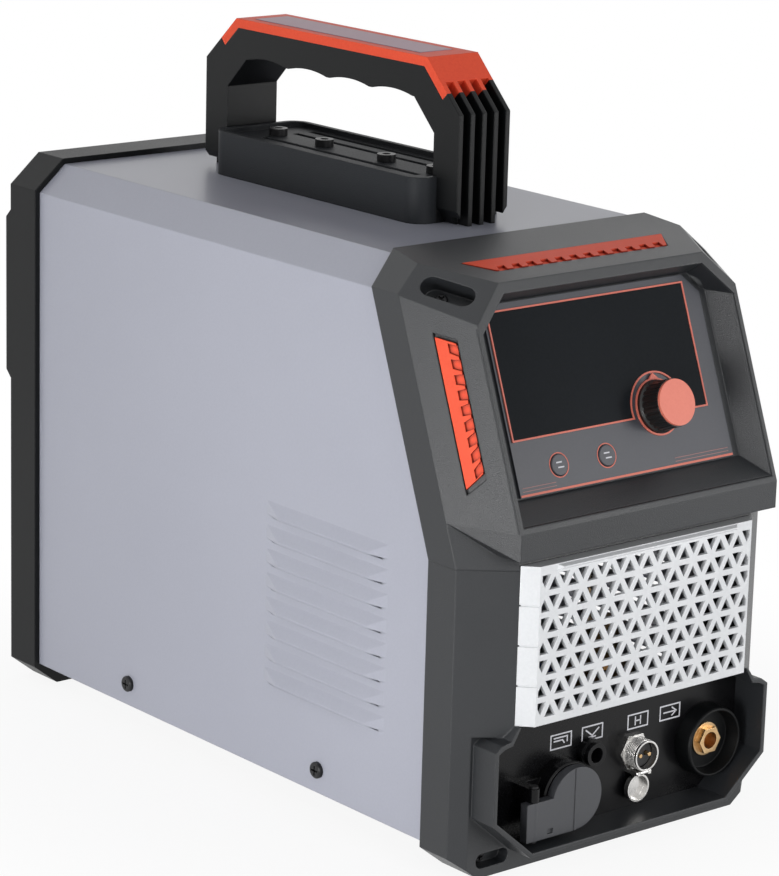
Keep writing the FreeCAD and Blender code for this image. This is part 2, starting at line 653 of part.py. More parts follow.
def bezel_block(inset):
    """The faceted front moulding as one block, its outside moved inwards by inset."""
    wide = half - inset
    seat, seat_y = size("seat_half") - inset * 0.6, size("seat_front") + inset
    strip = size("strip_front") + inset * 0.6
    nose, bend = size("nose_half") - inset * 0.8, size("bend_high")
    high = size("bezel_top") + 60
    back = size("edge_front") if inset == 0 else size("edge_front") + 60
    base = [(-wide, back), (-wide, strip), (-seat, seat_y), (seat, seat_y), (wide, strip), (wide, back)]
    nose_low, nose_high = size("nose_low") + inset, size("nose_high")
    side_y = strip + lean * (nose_high - bend)
    back_at_nose = back + lean * (nose_high - bend)
    snout = [(-wide, back_at_nose), (-wide, side_y), (-nose, inset), (nose, inset), (wide, side_y),
             (wide, back_at_nose)]
    flat_snout = [(x, min(y, back)) for x, y in snout]
    block = flat_prism(base, inset, bend)
    block = block.fuse(flat_prism(base, bend, high, lean * (high - bend)))
    brow = flat_prism(flat_snout, nose_low, nose_high)
    for side in (-1, 1):
        brow = brow.cut(beyond(Vector(side * nose, 0, nose_low), Vector(side * (nose_high - nose_low), 0, nose - wide)))
    block = block.fuse(brow)
    block = block.fuse(flat_prism(snout, nose_high, high, lean * (high - nose_high)))
    top_y, top_z = edge_y(size("bezel_top")), size("bezel_top")
    front_top_y, front_top_z = hood_y(size("hood_high")), size("hood_high")
    up = Vector(0, front_top_z - top_z, top_y - front_top_y).normalize()
    block = block.cut(beyond(Vector(0, top_y, top_z) - up * inset, up))
    for side in (-1, 1):
        for point, facing in corner_planes(side):
            block = block.cut(beyond(point - facing * inset, facing))
        chamfer = Vector(side * size("foot_up"), 0, -size("foot_in")).normalize()
        block = block.cut(beyond(Vector(side * half, 0, size("foot_up")) - chamfer * inset, chamfer))
    return block


def guard_profile(grow):
    """Outline of the connector guard, moved outwards by grow."""
    top = size("grille_low")
    return mirrored([(size("guard_flat") + grow * 0.6, size("guard_low") - grow * size("guard_lip")
                      / size("guard_wall")),
                     (size("guard_half") + grow, size("guard_knee") - grow * 0.6),
                     (size("guard_half") + grow, size("guard_shoulder") + grow * 0.4),
                     (size("guard_half") - 4.5 + grow * 0.6, size("guard_shoulder") + 3.2 + grow),
                     (size("seat_half") + 4.5 + grow * 0.4, size("guard_shoulder") + size("shoulder_rise") + grow),
                     (size("seat_half") + grow * 0.6, top)])


def recess(grow):
    """The hollow over the control panel, moved outwards by grow."""
    def ring(across, low, high, corner, w):
        return Part.makePolygon([on_panel(u, v, w) for u, v in (
            (-across, low), (across, low), (across, high - corner), (across - corner, high),
            (-across + corner, high), (-across, high - corner), (-across, low))])
    floor = ring(size("recess_half") + grow, size("recess_low") - grow, size("recess_high") + grow,
                 size("recess_corner"), -size("recess_deep") - grow)
    mouth = ring(size("mouth_half") + grow, size("mouth_low") - grow, size("mouth_high") + grow,
                 size("mouth_corner"), 0)
    beyond_mouth = ring(size("mouth_half") + grow, size("mouth_low") - grow, size("mouth_high") + grow,
                        size("mouth_corner"), 30)
    lower = Part.makeLoft([floor, mouth], True, True)
    if grow:
        return lower
    return lower.fuse(Part.makeLoft([mouth, beyond_mouth], True, True))


def corner_frame(side):
    """Middle, long direction and outward normal of a top corner facet's front part."""
    bend, front_low, front_high = corner_marks(side)
    (level_point, level), (_, facing) = corner_planes(side)
    slope = (edge_y(size("bezel_top")) - hood_y(size("hood_high"))) / (size("bezel_top") - size("hood_high"))
    ridge = level.cross(facing).normalize()
    lift = front_high - bend
    share = (lift.y - slope * lift.z) / (ridge.y - slope * ridge.z)
    top = bend + ridge * share
    middle = (bend + front_low + front_high + top) * 0.25
    along = (front_low + front_high - bend - top).normalize()
    return middle + along * size("pocket_shift"), along, facing


def slot_solid(middle, along, facing, radius, length, deep, above):
    """A long round-ended hollow sunk from above a face to a depth below it."""
    start = middle - facing * deep
    first = Part.makeCylinder(radius, deep + above, start - along * (length / 2), facing)
    last = Part.makeCylinder(radius, deep + above, start + along * (length / 2), facing)
    across = facing.cross(along).normalize() * radius
    a, b = start - along * (length / 2), start + along * (length / 2)
    middle_block = prism([a - across, b - across, b + across, a + across], facing * (deep + above))
    return first.fuse(last).fuse(middle_block)


def accent_bed(side):
    """Middle line ends and directions of the pocket that carries a side strip."""
    deep_run = size("strip_front") + lean * (size("nose_high") - size("bend_high"))
    across = Vector(size("nose_half") - half, -deep_run, 0).normalize()
    across = Vector(side * across.x, across.y, 0)
    along = Vector(0, math.sin(tilt), math.cos(tilt))
    facing = along.cross(across).normalize()
    if facing.x * side < 0:
        facing = facing * -1
    return across, along, facing


def side_accent_points(side, low, high, near, far, skew):
    """Corners of a strip on the hood's side facet, between two shares of its width."""
    across, along, facing = accent_bed(side)
    corners = []
    for height, share, shift in ((low, near, 0), (low, far, skew), (high, far, -skew * 0.2), (high, near, 0)):
        lift = height + shift
        start = Vector(side * half, size("strip_front") + lean * (lift - size("bend_high")), lift)
        end = Vector(side * size("nose_half"), hood_y(lift), lift)
        corners.append(start + (end - start) * share)
    return corners, across, along, facing


def corner_screw_seats():
    """Where the screws in the four front pockets stand, and which way they face."""
    seats = []
    for side in (-1, 1):
        middle, along, facing = corner_frame(side)
        seats.append((middle - facing * size("pocket_deep") - along * (size("pocket_long") * 0.3), facing))
        seats.append((Vector(side * (size("low_pocket_x") + size("low_pocket_long") * 0.3),
                             size("bay_back") + size("low_pocket_deep"), size("low_pocket_high")), Y_AXIS * -1))
    return seats


def front_shell():
    """The whole front moulding: shell, tongue, panel recess, bay, grille seat and pockets."""
    wall = size("bezel_wall")
    outer = bezel_block(0).cut(front_prism([(-half, -1), (half, -1), (half, size("notch_high")),
                                            (-half, size("notch_high"))], -10, size("bay_back")))
    outer = outer.fuse(front_prism(guard_profile(0), size("bay_front"), size("edge_front") - 5))
    cavity = bezel_block(wall)
    lower_back = size("bay_back") + wall
    cavity = cavity.cut(Part.makeBox(4 * half, lower_back + 10, size("notch_high") + wall + 1,
                                     Vector(-2 * half, -10, -1)))
    cavity = cavity.cut(Part.makeBox(2 * (size("seat_half") + wall), lower_back + 10,
                                     size("grille_low") + wall + 1, Vector(-size("seat_half") - wall, -10, -1)))
    cavity = cavity.cut(recess(wall))
    cavity = cavity.cut(front_prism(guard_profile(-size("guard_wall") + wall), 0, size("bay_floor") + wall))
    shell = outer.cut(cavity)
    shell = shell.cut(recess(0))
    shell = shell.cut(front_prism(guard_profile(-size("guard_wall")), -1, size("bay_floor")))
    opening = size("grille_half") - size("grille_wall")
    shell = shell.cut(front_prism([(-opening, size("grille_low") + wall + 1), (opening, size("grille_low") + wall + 1),
                                   (opening, size("bend_high")), (-opening, size("bend_high"))], 0,
                                  size("seat_front") + 2 * wall))
    inner_gap = size("gauge") + size("skin_gap")
    tongue = front_prism(arch(-inner_gap, size("cover_low") + 1), wall, 2 * size("edge_front") + 40).cut(
        front_prism(arch(-inner_gap - size("tongue"), 0), 0, 2 * size("edge_front") + 50))
    top = size("bezel_top")
    reach = size("tongue_reach")
    band = [(edge_y(0) - 3 * wall, 0), (edge_y(0) - 3 * wall, size("bend_high")), (edge_y(top) - 3 * wall, top),
            (edge_y(top) + reach, top), (edge_y(0) + reach, size("bend_high")), (edge_y(0) + reach, 0)]
    tongue = tongue.common(side_prism(band, half))
    web = outer.common(side_prism([(edge_y(0) - 3 * wall, 0), (edge_y(0) - 3 * wall, size("bend_high")),
                                   (edge_y(top) - 3 * wall, top + 1), (edge_y(top), top + 1),
                                   (edge_y(0), size("bend_high")), (edge_y(0), 0)], half + 1))
    web = web.cut(front_prism(arch(-inner_gap - size("tongue"), 2 * wall), 0, 2 * size("edge_front") + 50))
    shell = shell.fuse([tongue, web])
    for side in (-1, 1):
        middle, along, facing = corner_frame(side)
        well = slot_solid(middle, along, facing, size("pocket_half") + wall, size("pocket_long"),
                          size("pocket_deep") + wall, 0).common(outer)
        shell = shell.fuse(well)
        shell = shell.cut(slot_solid(middle, along, facing, size("pocket_half"), size("pocket_long"),
                                     size("pocket_deep"), 20))
        low = Vector(side * size("low_pocket_x"), size("bay_back"), size("low_pocket_high"))
        boss = slot_solid(low, X_AXIS, Vector(0, -1, 0), size("low_pocket_r") + wall, size("low_pocket_long"),
                          size("low_pocket_deep") + wall, 0).common(outer)
        shell = shell.fuse(boss)
        shell = shell.cut(slot_solid(low, X_AXIS, Vector(0, -1, 0), size("low_pocket_r"),
                                     size("low_pocket_long"), size("low_pocket_deep"), 20))
        corners, across, up, out = side_accent_points(side, size("accent_low_high") - 3,
                                                      size("accent_top_high") + 2, size("accent_near") - 0.02,
                                                      size("accent_far") + 0.02, 9)
        bed = prism([c - out * size("accent_thick") for c in corners], out * 20)
        shell = shell.cut(bed)
    shell = shell.cut(top_accent_solid(0.6, size("accent_thick"), 20))
    for seat, facing in corner_screw_seats():
        shell = shell.cut(Part.makeCylinder(size("corner_screw_r") / 2 + 0.3, 20, seat + facing, facing * -1))
    return shell.cut(bay_holes()).cut(panel_holes())


def top_accent_solid(grow, deep, above):
    """The strip let into the hood's top, grown sideways, sunk and raised."""
    top_y, top_z = edge_y(size("bezel_top")), size("bezel_top")
    front_y_top, front_z_top = hood_y(size("hood_high")), size("hood_high")
    rise = (top_z - front_z_top) / (top_y - front_y_top)
    up = Vector(0, -rise, 1).normalize()

    def at(x, y):
        return Vector(x, y, front_z_top + rise * (y - front_y_top)) - up * deep
    near, far = size("top_accent_near") - grow, size("top_accent_far") + grow
    front_x, rear_x = size("top_accent_front") + grow, size("top_accent_rear") + grow
    return prism([at(-front_x, near), at(front_x, near), at(rear_x, far), at(-rear_x, far)], up * (deep + above))


def bay_holes():
    """Holes in the bay's floor for the four connectors."""
    y = size("bay_floor") - 1
    deep = size("bezel_wall") + 3
    holes = []
    for name, radius in (("torch", size("torch_stem_r") + 0.2), ("trigger", size("trigger_r") + 0.2),
                         ("pilot", size("pilot_r") * 0.75 + 0.2), ("work", size("work_r") * 0.8 + 0.2)):
        holes.append(Part.makeCylinder(radius, deep, Vector(size(name + "_x"), y, size(name + "_high")), Y_AXIS))
    return holes


def panel_holes():
    """Holes through the recess floor for the knob's bush, the buttons and the display."""
    deep = size("bezel_wall") + 3
    inward = on_panel(0, 0, -1) - on_panel(0, 0, 0)
    floor = -size("recess_deep") + 1
    holes = [Part.makeCylinder(size("bush_r") + 0.2, deep, on_panel(size("knob_x"), size("knob_v"), floor), inward)]
    for name in ("button_left_x", "button_right_x"):
        holes.append(Part.makeCylinder(size("button_r") + size("button_gap"), deep,
                                       on_panel(size(name), size("button_v"), floor), inward))
    return holes


def front_pieces():
    """The front moulding as it is assembled: lower frame, hood, panel tray and bay plate."""
    shell = front_shell()
    inward = on_panel(0, 0, -1) - on_panel(0, 0, 0)
    tray_room = recess(size("bezel_wall")).common(beyond(on_panel(0, 0, -size("tray_seam")), inward))
    plate_room = front_prism(guard_profile(-size("guard_wall")), size("bay_floor"),
                             size("bay_floor") + size("bezel_wall"))
    tray, plate = shell.common(tray_room), shell.common(plate_room)
    frame = shell.cut(tray_room).cut(plate_room)
    above = beyond(Vector(0, 0, size("bend_high")), Z_AXIS)
    return {"front_bezel": frame.cut(above), "front_hood": frame.common(above), "panel_tray": tray,
            "bay_plate": plate}


for front_name, front_shape in front_pieces().items():
    keep(shaped(front_name + "_solid", front_shape), front_name)


def grille():
    """Silver grille: a chamfered face over the air opening, cut into a field of triangles."""
    near, seat = size("grille_front"), size("seat_front")
    low, high = size("grille_low") + 0.3, size("grille_high")
    wall = size("grille_wall")
    outside = [(-size("seat_half"), seat), (-size("grille_half"), near), (size("grille_half"), near),
               (size("seat_half"), seat)]
    skin = flat_prism(outside, low, high)
    room = [(-size("seat_half") + 1.8 * wall, seat + 1), (-size("grille_half") + 0.6 * wall, near + wall),
            (size("grille_half") - 0.6 * wall, near + wall), (size("seat_half") - 1.8 * wall, seat + 1)]
    skin = skin.cut(flat_prism(room, low + wall, high - wall))
    side = size("cell_side")
    tall = size("cell_row_high")
    reach = size("cell_half")
    share = 1 - 1.5 * size("bar_wide") / tall
    holes = []
    for row in range(int(size("cell_rows"))):
        centre_high = size("cell_first") + row * tall
        step = int(reach / side * 2) + 1
        for column in range(-step, step + 1):
            x = column * side / 2
            if abs(x) > reach - side * 0.1:
                continue
            up = 1 if (column + row) % 2 == 0 else -1
            middle = centre_high + (tall / 3 if up > 0 else 2 * tall / 3)
            corners = [(x - side / 2 * share, middle - up * tall / 3 * share),
                       (x + side / 2 * share, middle - up * tall / 3 * share),
                       (x, middle + up * 2 * tall / 3 * share)]
            holes.append(front_prism(corners, near - 1, near + wall + 1))
    field = Part.makeBox(2 * reach, 3 * wall + 10, high, Vector(-reach, near - 5, 0))
    skin = skin.cut(Part.makeCompound(holes).common(field))
    brow, proud = size("brow_half"), size("brow_proud")
    low = size("brow_low")
    ridge = side_prism([(near, low), (near - proud, low + 1.4), (near - proud, high - 1.4), (near, high - 0.3)], brow)
    for way in (-1, 1):
        ridge = ridge.cut(beyond(Vector(way * brow, near, 0), Vector(way, -1, 0)))
    skin = skin.fuse(ridge)
    for rib in range(3):
        level = size("grille_low") + (rib + 1) * (high - size("grille_low")) / 4
        for way in (-1, 1):
            groove = prism([Vector(way * (size("seat_half") + 1), seat, level),
                            Vector(way * (size("seat_half") + 1), near - 1, level),
                            Vector(way * (size("grille_half") - 0.3), near - 1, level),
                            Vector(way * (size("grille_half") - 0.3), near + 0.3, level),
                            Vector(way * (size("seat_half") - 0.9), seat, level)], Vector(0, 0, 0.9))
            face = groove.common(flat_prism([(-size("seat_half") - 2, seat), (-size("grille_half") + 0.3, near - 1),
                                             (size("grille_half") - 0.3, near - 1),
                                             (size("seat_half") + 2, seat)], low - 90, high))
            skin = skin.cut(face)
    return skin


keep(shaped("grille", grille()), "front_grille")

# Control panel

FLOOR = "-recess_deep"
FACE = "-recess_deep + overlay_thick"


def rectangle(left, low, right, high):
    """Four corners of a rectangle from formulas."""
    return [(left, low), (right, low), (right, high), (left, high)]


def panel_rod(name, radius, height, u, v, w):
    """A cylinder standing square on the leaning panel."""
    return place_on_panel(rod(name, radius, height), u, v, w)


overlay_sheet = place_on_panel(padded("overlay_sheet", [
    ("-overlay_half", "overlay_low"), ("overlay_half", "overlay_low"),
    ("overlay_half", "overlay_high - recess_corner"), ("overlay_half - recess_corner", "overlay_high"),
    ("-overlay_half + recess_corner", "overlay_high"), ("-overlay_half", "overlay_high - recess_corner")],
    "overlay_thick"), 0, 0, FLOOR)
window_hole = place_on_panel(padded("window_hole", rectangle("window_left - 0.1", "window_low - 0.1",
                                                             "window_right + 0.1", "window_high + 0.1"),
                                    "overlay_thick + 2"), 0, 0, FLOOR + " - 1")
ring_land = panel_rod("ring_land", "land_r + 0.9", "overlay_thick + 6", "knob_x", "knob_v", FLOOR + " - 2")
window_hole_cut = cut("window_hole_cut", window_hole, ring_land)
overlay_holes = [window_hole_cut,
                 panel_rod("bush_hole", "bush_r + 0.3", "overlay_thick + 2", "knob_x", "knob_v", FLOOR + " - 1")]
for label in ("left", "right"):
    overlay_holes.append(panel_rod(f"button_hole_{label}", "button_r + button_gap", "overlay_thick + 2",
                                   f"button_{label}_x", "button_v", FLOOR + " - 1"))
holes_joined = joined("overlay_holes", overlay_holes)
keep(cut("overlay", overlay_sheet, holes_joined), "overlay_panel")

window_sheet = place_on_panel(padded("window_sheet", rectangle("window_left", "window_low", "window_right",
                                                               "window_high"),
                                     "overlay_thick + window_proud"), 0, 0, FLOOR)
window_land = panel_rod("window_land", "land_r + 1", "overlay_thick + 6", "knob_x", "knob_v", FLOOR + " - 2")
keep(cut("window", window_sheet, window_land), "display_window")

trim_sheet = place_on_panel(padded("trim_sheet", rectangle("window_left - trim_wide - 0.1",
                                                           "window_low - trim_wide - 0.1",
                                                           "window_right + trim_wide + 0.1",
                                                           "window_high + trim_wide + 0.1"), "trim_proud"),
                            0, 0, FACE)
trim_land = panel_rod("trim_land", "land_r", "overlay_thick + 6", "knob_x", "knob_v", FLOOR + " - 2")
trim_inside = place_on_panel(padded("trim_inside", rectangle("window_left - 0.1", "window_low - 0.1",
                                                             "window_right + 0.1", "window_high + 0.1"),
                                    "trim_proud + 2"), 0, 0, FACE + " - 1")
trim_inner_land = panel_rod("trim_inner_land", "land_r + 0.9", "overlay_thick + 6", "knob_x", "knob_v",
                            FLOOR + " - 2")
trim_hollow = cut("trim_hollow", trim_inside, trim_inner_land)
outline = cut("trim_ring", cut("trim_outer", trim_sheet, trim_land), trim_hollow)

ring_disc = turned("ring_disc", [("ring_in", 0), ("ring_out", 0), ("ring_out", "trim_proud"),
                                 ("ring_in", "trim_proud")])
place_on_panel(ring_disc, "knob_x", "knob_v", FACE)
pointer = place_on_panel(padded("pointer", [("-3.2", "ring_out - 0.5"), ("3.2", "ring_out - 0.5"),
                                            (0, "ring_out + pointer_tall")], 0.9),
                         "knob_x", "knob_v", FACE + " + trim_proud")
pointer_root = place_on_panel(padded("pointer_root", rectangle("-2", "ring_out - 0.6", "2", "ring_out + 0.3"),
                                     "trim_proud + 0.9"), "knob_x", "knob_v", FACE)
knob_ring = joined("knob_ring", [ring_disc, pointer, pointer_root])
keep(grouped("panel_lines", [outline, knob_ring]), "panel_outline")

knob_stock = turned("knob_stock", [
    ("bush_r + shaft_gap", 0), ("knob_r + 0.8", 0), ("knob_r + 0.8", 1.4), ("knob_r", 2.4),
    ("knob_r - 0.4", "knob_tall - knob_cap_thick"), (0, "knob_tall - knob_cap_thick"),
    (0, "knob_tall - knob_cap_thick - 3"), ("bush_r + shaft_gap", "knob_tall - knob_cap_thick - 3")])
place_on_panel(knob_stock, "knob_x", "knob_v", FACE + " + knob_gap")


def flutes():
    """Grooves down the side of the knob."""
    grooves = []
    inward = on_panel(0, 0, 1) - on_panel(0, 0, 0)
    base = -size("recess_deep") + size("overlay_thick") + size("knob_gap") + 2.6
    for i in range(int(size("knob_flutes"))):
        turn = 2 * math.pi * i / int(size("knob_flutes"))
        reach = size("knob_r") + size("flute_r") * 0.35
        foot = on_panel(size("knob_x") + reach * math.cos(turn), size("knob_v") + reach * math.sin(turn), base)
        grooves.append(Part.makeCylinder(size("flute_r"), size("knob_tall"), foot, inward))
    return Part.makeCompound(grooves)


keep(cut("knob", knob_stock, shaped("knob_grooves", flutes())), "knob_body")
keep(panel_rod("knob_cap_disc", "knob_cap_r", "knob_cap_thick", "knob_x", "knob_v",
               FACE + " + knob_gap + knob_tall - knob_cap_thick"), "knob_cap")

encoder_block = place_on_panel(padded("encoder_block", rectangle("-encoder_side / 2", "-encoder_side / 2",
                                                                 "encoder_side / 2", "encoder_side / 2"),
                                      "board_gap"), "knob_x", "knob_v", FLOOR + " - bezel_wall - board_gap")
encoder_bush = panel_rod("encoder_bush", "bush_r", "bezel_wall + overlay_thick + knob_tall - 6", "knob_x", "knob_v",
                         FLOOR + " - bezel_wall")
keep(joined("encoder_solid", [encoder_block, encoder_bush]), "encoder")

for label in ("left", "right"):
    button = turned(f"button_{label}_turned", [
        (0, "-board_gap + 4 + button_travel + 0.1"), ("button_r / 3", "-board_gap + 4 + button_travel + 0.1"),
        ("button_r / 3", -1.2), ("button_r + 1.2", -1.2), ("button_r + 1.2", 0), ("button_r", 0),
        ("button_r", "bezel_wall + overlay_thick + button_proud - 0.4"),
        ("button_r - 0.4", "bezel_wall + overlay_thick + button_proud"),
        (0, "bezel_wall + overlay_thick + button_proud")])
    place_on_panel(button, f"button_{label}_x", "button_v", FLOOR + " - bezel_wall")
    keep(button, f"button_{label}")

board_sheet = place_on_panel(padded("board_sheet", rectangle("-recess_half + 12", "recess_low + 4",
                                                             "recess_half - 12", "recess_high - 6"),
                                    "board_thick"), 0, 0, FLOOR + " - bezel_wall - board_gap - board_thick")
switches = [place_on_panel(padded(f"tact_{label}", rectangle(-3, -3, 3, 3), 4), f"button_{label}_x", "button_v",
                           FLOOR + " - bezel_wall - board_gap") for label in ("left", "right")]
chip = place_on_panel(padded("chip", rectangle(-30, 60, -10, 80), 3), 0, 0, FLOOR + " - bezel_wall - board_gap")
keep(joined("control_board_solid", [board_sheet, chip] + switches), "control_board")
standoffs = []
for i, (u, v) in enumerate((("-recess_half + 17", "recess_low + 8"), ("recess_half - 17", "recess_low + 8"),
                            ("-recess_half + 17", "recess_high - 12"), ("recess_half - 17", "recess_high - 12"))):
    standoffs.append(panel_rod(f"standoff_{i}", "standoff_r", "board_gap", u, v,
                               FLOOR + " - bezel_wall - board_gap"))
keep(grouped("standoff_set", standoffs), "board_standoffs")

# Coloured strips


def side_strip(side):
    """Flat strip with a row of teeth, lying in its bed on the hood's side."""
    low, high = size("accent_low_high"), size("accent_top_high")
    near, far = size("accent_near"), size("accent_far")
    corners, across, along, out = side_accent_points(side, low, high, near, far, 8.6)
    thick = size("accent_thick")
    strip = prism([c - out * thick for c in corners], out * (thick + 0.4))
    inner, _, _, _ = side_accent_points(side, low, high, near, far - (far - near) * 0.42, 4)
    count = int(size("accent_teeth"))
    for i in range(count):
        ends = [inner[1] + (inner[2] - inner[1]) * ((i + share) / count) for share in (0.2, 0.8)]
        ends += [corners[1] + (corners[2] - corners[1]) * ((i + share) / count) for share in (0.9, 0.1)]
        outward = (ends[3] - ends[0]).normalize()
        ends = [ends[0], ends[1], ends[2] + outward, ends[3] + outward]
        strip = strip.cut(prism([e - out * (size("tooth_deep") - 0.4) for e in ends], out * 20))
    return strip


for side, label in ((-1, "left"), (1, "right")):
    keep(shaped(f"accent_{label}_solid", side_strip(side)), f"accent_{label}")


def top_strip():
    """Strip let into the hood's top, notched along its front."""
    strip = top_accent_solid(0, size("accent_thick"), 0.4)
    near, far = size("top_accent_near"), size("top_accent_far")
    count = 12
    wide = 2 * size("top_accent_front")
    notches = []
    for i in range(count):
        x = -wide / 2 + (i + 0.5) * wide / count
        notches.append(flat_prism([(x - wide / count * 0.38, near - 1), (x + wide / count * 0.22, near - 1),
                                   (x + wide / count * 0.38, near + (far - near) * 0.32),
                                   (x - wide / count * 0.12, near + (far - near) * 0.32)],
                                  size("hood_high") - 20, size("bezel_top") + 20))
    floor = top_accent_solid(3, size("tooth_deep") - 0.4, 10)
    return strip.cut(Part.makeCompound(notches).common(floor))


keep(shaped("accent_top_solid", top_strip()), "accent_top")

# Connector bay


def bay(obj, x, high, out="0"):
    """Put an object on the bay's floor, its own Z axis pointing out of the front."""
    return place_forward(obj, x, f"bay_floor - ({out})", high)


socket_round = bay(turned("socket_round", [
    ("work_bore_r + 2.5", "work_proud"), ("work_r - 0.8", "work_proud"), ("work_r", "work_proud - 0.8"),
    ("work_r", 0), ("work_r * 0.8 - 0.1", 0), ("work_r * 0.8 - 0.1", -17),
    ("work_bore_r + 2.5", -17)]), "work_x", "work_high")
PIN_OUT = "work_proud + lid_gap + lid_thick / 2"
EAR_LOW = "work_high - lid_r - 0.4"
EAR_HIGH = "work_high + 3.4"
bracket = box("bracket", "work_x - lid_hinge_x - lid_barrel_r", "bay_floor - 3", EAR_HIGH + " + 0.2",
              "lid_hinge_x + lid_barrel_r - work_r * 0.7", 3, 7)
bracket_arm = box("bracket_arm", "work_x - lid_hinge_x - lid_barrel_r", f"bay_floor - ({PIN_OUT})",
                  EAR_HIGH + " + 0.2", "lid_barrel_r * 2", PIN_OUT, 7)
knuckle = place(rod("knuckle", "lid_barrel_r", 7), "work_x - lid_hinge_x", f"bay_floor - ({PIN_OUT})",
                EAR_HIGH + " + 0.2")
pin_hole = place(rod("pin_hole", "lid_pin_r + 0.3", "lid_r * 2 + 40"), "work_x - lid_hinge_x",
                 f"bay_floor - ({PIN_OUT})", EAR_LOW + " - 10")
socket_bore = bay(rod("socket_bore", "work_bore_r + 2.5", "work_proud + 30"), "work_x", "work_high", -18)
socket_all = joined("socket_all", [socket_round, bracket, bracket_arm, knuckle])
socket_drilled = cut("socket_drilled", socket_all, pin_hole)
keep(cut("socket_solid", socket_drilled, socket_bore), "socket_body")
keep(bay(turned("contact", [
    ("work_bore_r", "work_proud - 2"), ("work_bore_r + 2.2", "work_proud - 2"), ("work_bore_r + 2.2", -17),
    ("work_bore_r + 5", -17), ("work_bore_r + 5", -19), (0, -19), (0, "work_proud - work_bore_deep"),
    ("work_bore_r", "work_proud - work_bore_deep")]), "work_x", "work_high"), "socket_contact")

lid_disc = bay(rod("lid_disc", "lid_r", "lid_thick"), "work_x", "work_high", "work_proud + lid_gap")
lid_ear = box("lid_ear", "work_x - lid_hinge_x - ear_past", "bay_floor - work_proud - lid_gap - lid_thick",
              EAR_LOW, "lid_hinge_x + ear_past", "lid_thick", f"({EAR_HIGH}) - ({EAR_LOW})")
lid_barrel = place(rod("lid_barrel", "lid_barrel_r - 0.3", f"({EAR_HIGH}) - ({EAR_LOW})"), "work_x - lid_hinge_x",
                   f"bay_floor - ({PIN_OUT})", EAR_LOW)
lid_bore = place(rod("lid_bore", "lid_pin_r + lid_pin_gap", "lid_r * 2 + 40"), "work_x - lid_hinge_x",
                 f"bay_floor - ({PIN_OUT})", EAR_LOW + " - 10")
lid_notch = box("lid_notch", "work_x - lid_hinge_x + 8", "bay_floor - work_proud - lid_gap - lid_thick - 1",
                EAR_LOW + " + 2", 3.6, "2.2", 2.6)
lid_crease = box("lid_crease", "work_x - 2.2", "bay_floor - work_proud - lid_gap - lid_thick - 1",
                 "work_high - lid_r - 2", 0.8, "1.4", "lid_r * 2 + 4")
lid_stock = joined("lid_stock", [lid_disc, lid_ear, lid_barrel])
keep(cut("lid_solid", cut("lid_bored", cut("lid_creased", lid_stock, lid_crease), lid_notch), lid_bore),
     "socket_cover")
pin_shank = place(rod("pin_shank", "lid_pin_r", f"({EAR_HIGH}) - ({EAR_LOW}) + 7.4"), "work_x - lid_hinge_x",
                  f"bay_floor - ({PIN_OUT})", EAR_LOW + " - 0.2")
pin_head = place(rod("pin_head", "lid_pin_r + 1", 1.2), "work_x - lid_hinge_x", f"bay_floor - ({PIN_OUT})",
                 EAR_HIGH + " + 7.2")
pin_foot = place(rod("pin_foot", "lid_pin_r + 1", 1), "work_x - lid_hinge_x", f"bay_floor - ({PIN_OUT})",
                 EAR_LOW + " - 1.2")
keep(joined("lid_pin", [pin_shank, pin_head, pin_foot]), "socket_hinge_pin")

keep(bay(turned("pilot", [
    (4, "pilot_proud"), ("pilot_r * 0.82", "pilot_proud"), ("pilot_r * 0.82", 4), ("pilot_r", 4), ("pilot_r", 0),
    ("pilot_r * 0.75 - 0.1", 0), ("pilot_r * 0.75 - 0.1", -8), (0, -8), (0, -3), (4, -3)]), "pilot_x", "pilot_high"),
     "pilot_connector")

trigger_tube = bay(turned("trigger_tube", [
    ("trigger_r - trigger_wall", "trigger_proud"), ("trigger_r", "trigger_proud"), ("trigger_r", -8),
    ("trigger_r - trigger_wall", -8)]), "trigger_x", "trigger_high")
hexagon = [(f"{{0}} * {math.cos(math.radians(60 * i)):.6f}", f"{{0}} * {math.sin(math.radians(60 * i)):.6f}")
           for i in range(6)]
trigger_nut = bay(padded("trigger_nut", [(a.format("trigger_nut_r"), b.format("trigger_nut_r")) for a, b in hexagon],
                         "trigger_nut_thick"), "trigger_x", "trigger_high")
trigger_core = bay(rod("trigger_core", "trigger_r - trigger_wall", 40), "trigger_x", "trigger_high", -20)
LUG_LOW = "trigger_high - cap_drop - cap_barrel_r"
trigger_lug = box("trigger_lug", "trigger_x - 4.6", "bay_floor - cap_out - cap_barrel_r", LUG_LOW, 9.2,
                  "cap_out + cap_barrel_r", "cap_barrel_r * 2 - 0.2")
lug_slot = box("lug_slot", "trigger_x - 2.7", "bay_floor - 15", "trigger_high - cap_drop - 3", 5.4, "14.5",
               "3 + cap_barrel_r + 0.2")
lug_hole = place(rod("lug_hole", "cap_pin_r + 0.3", 20), "trigger_x - 10", "bay_floor - cap_out",
                 "trigger_high - cap_drop", Y_AXIS, 90)
trigger_outer = joined("trigger_outer", [trigger_tube, trigger_nut, trigger_lug])
trigger_rest = cut("trigger_rest", cut("trigger_slotted", trigger_outer, lug_slot), lug_hole)
keep(cut("trigger_shell", trigger_rest, trigger_core), "trigger_socket")
insulator = bay(turned("insulator", [
    (0, "trigger_proud - 4.5"), ("trigger_r - trigger_wall - 0.3", "trigger_proud - 4.5"),
    ("trigger_r - trigger_wall - 0.3", -8), ("trigger_r", -8), ("trigger_r", -9.5), (0, -9.5)]),
    "trigger_x", "trigger_high")
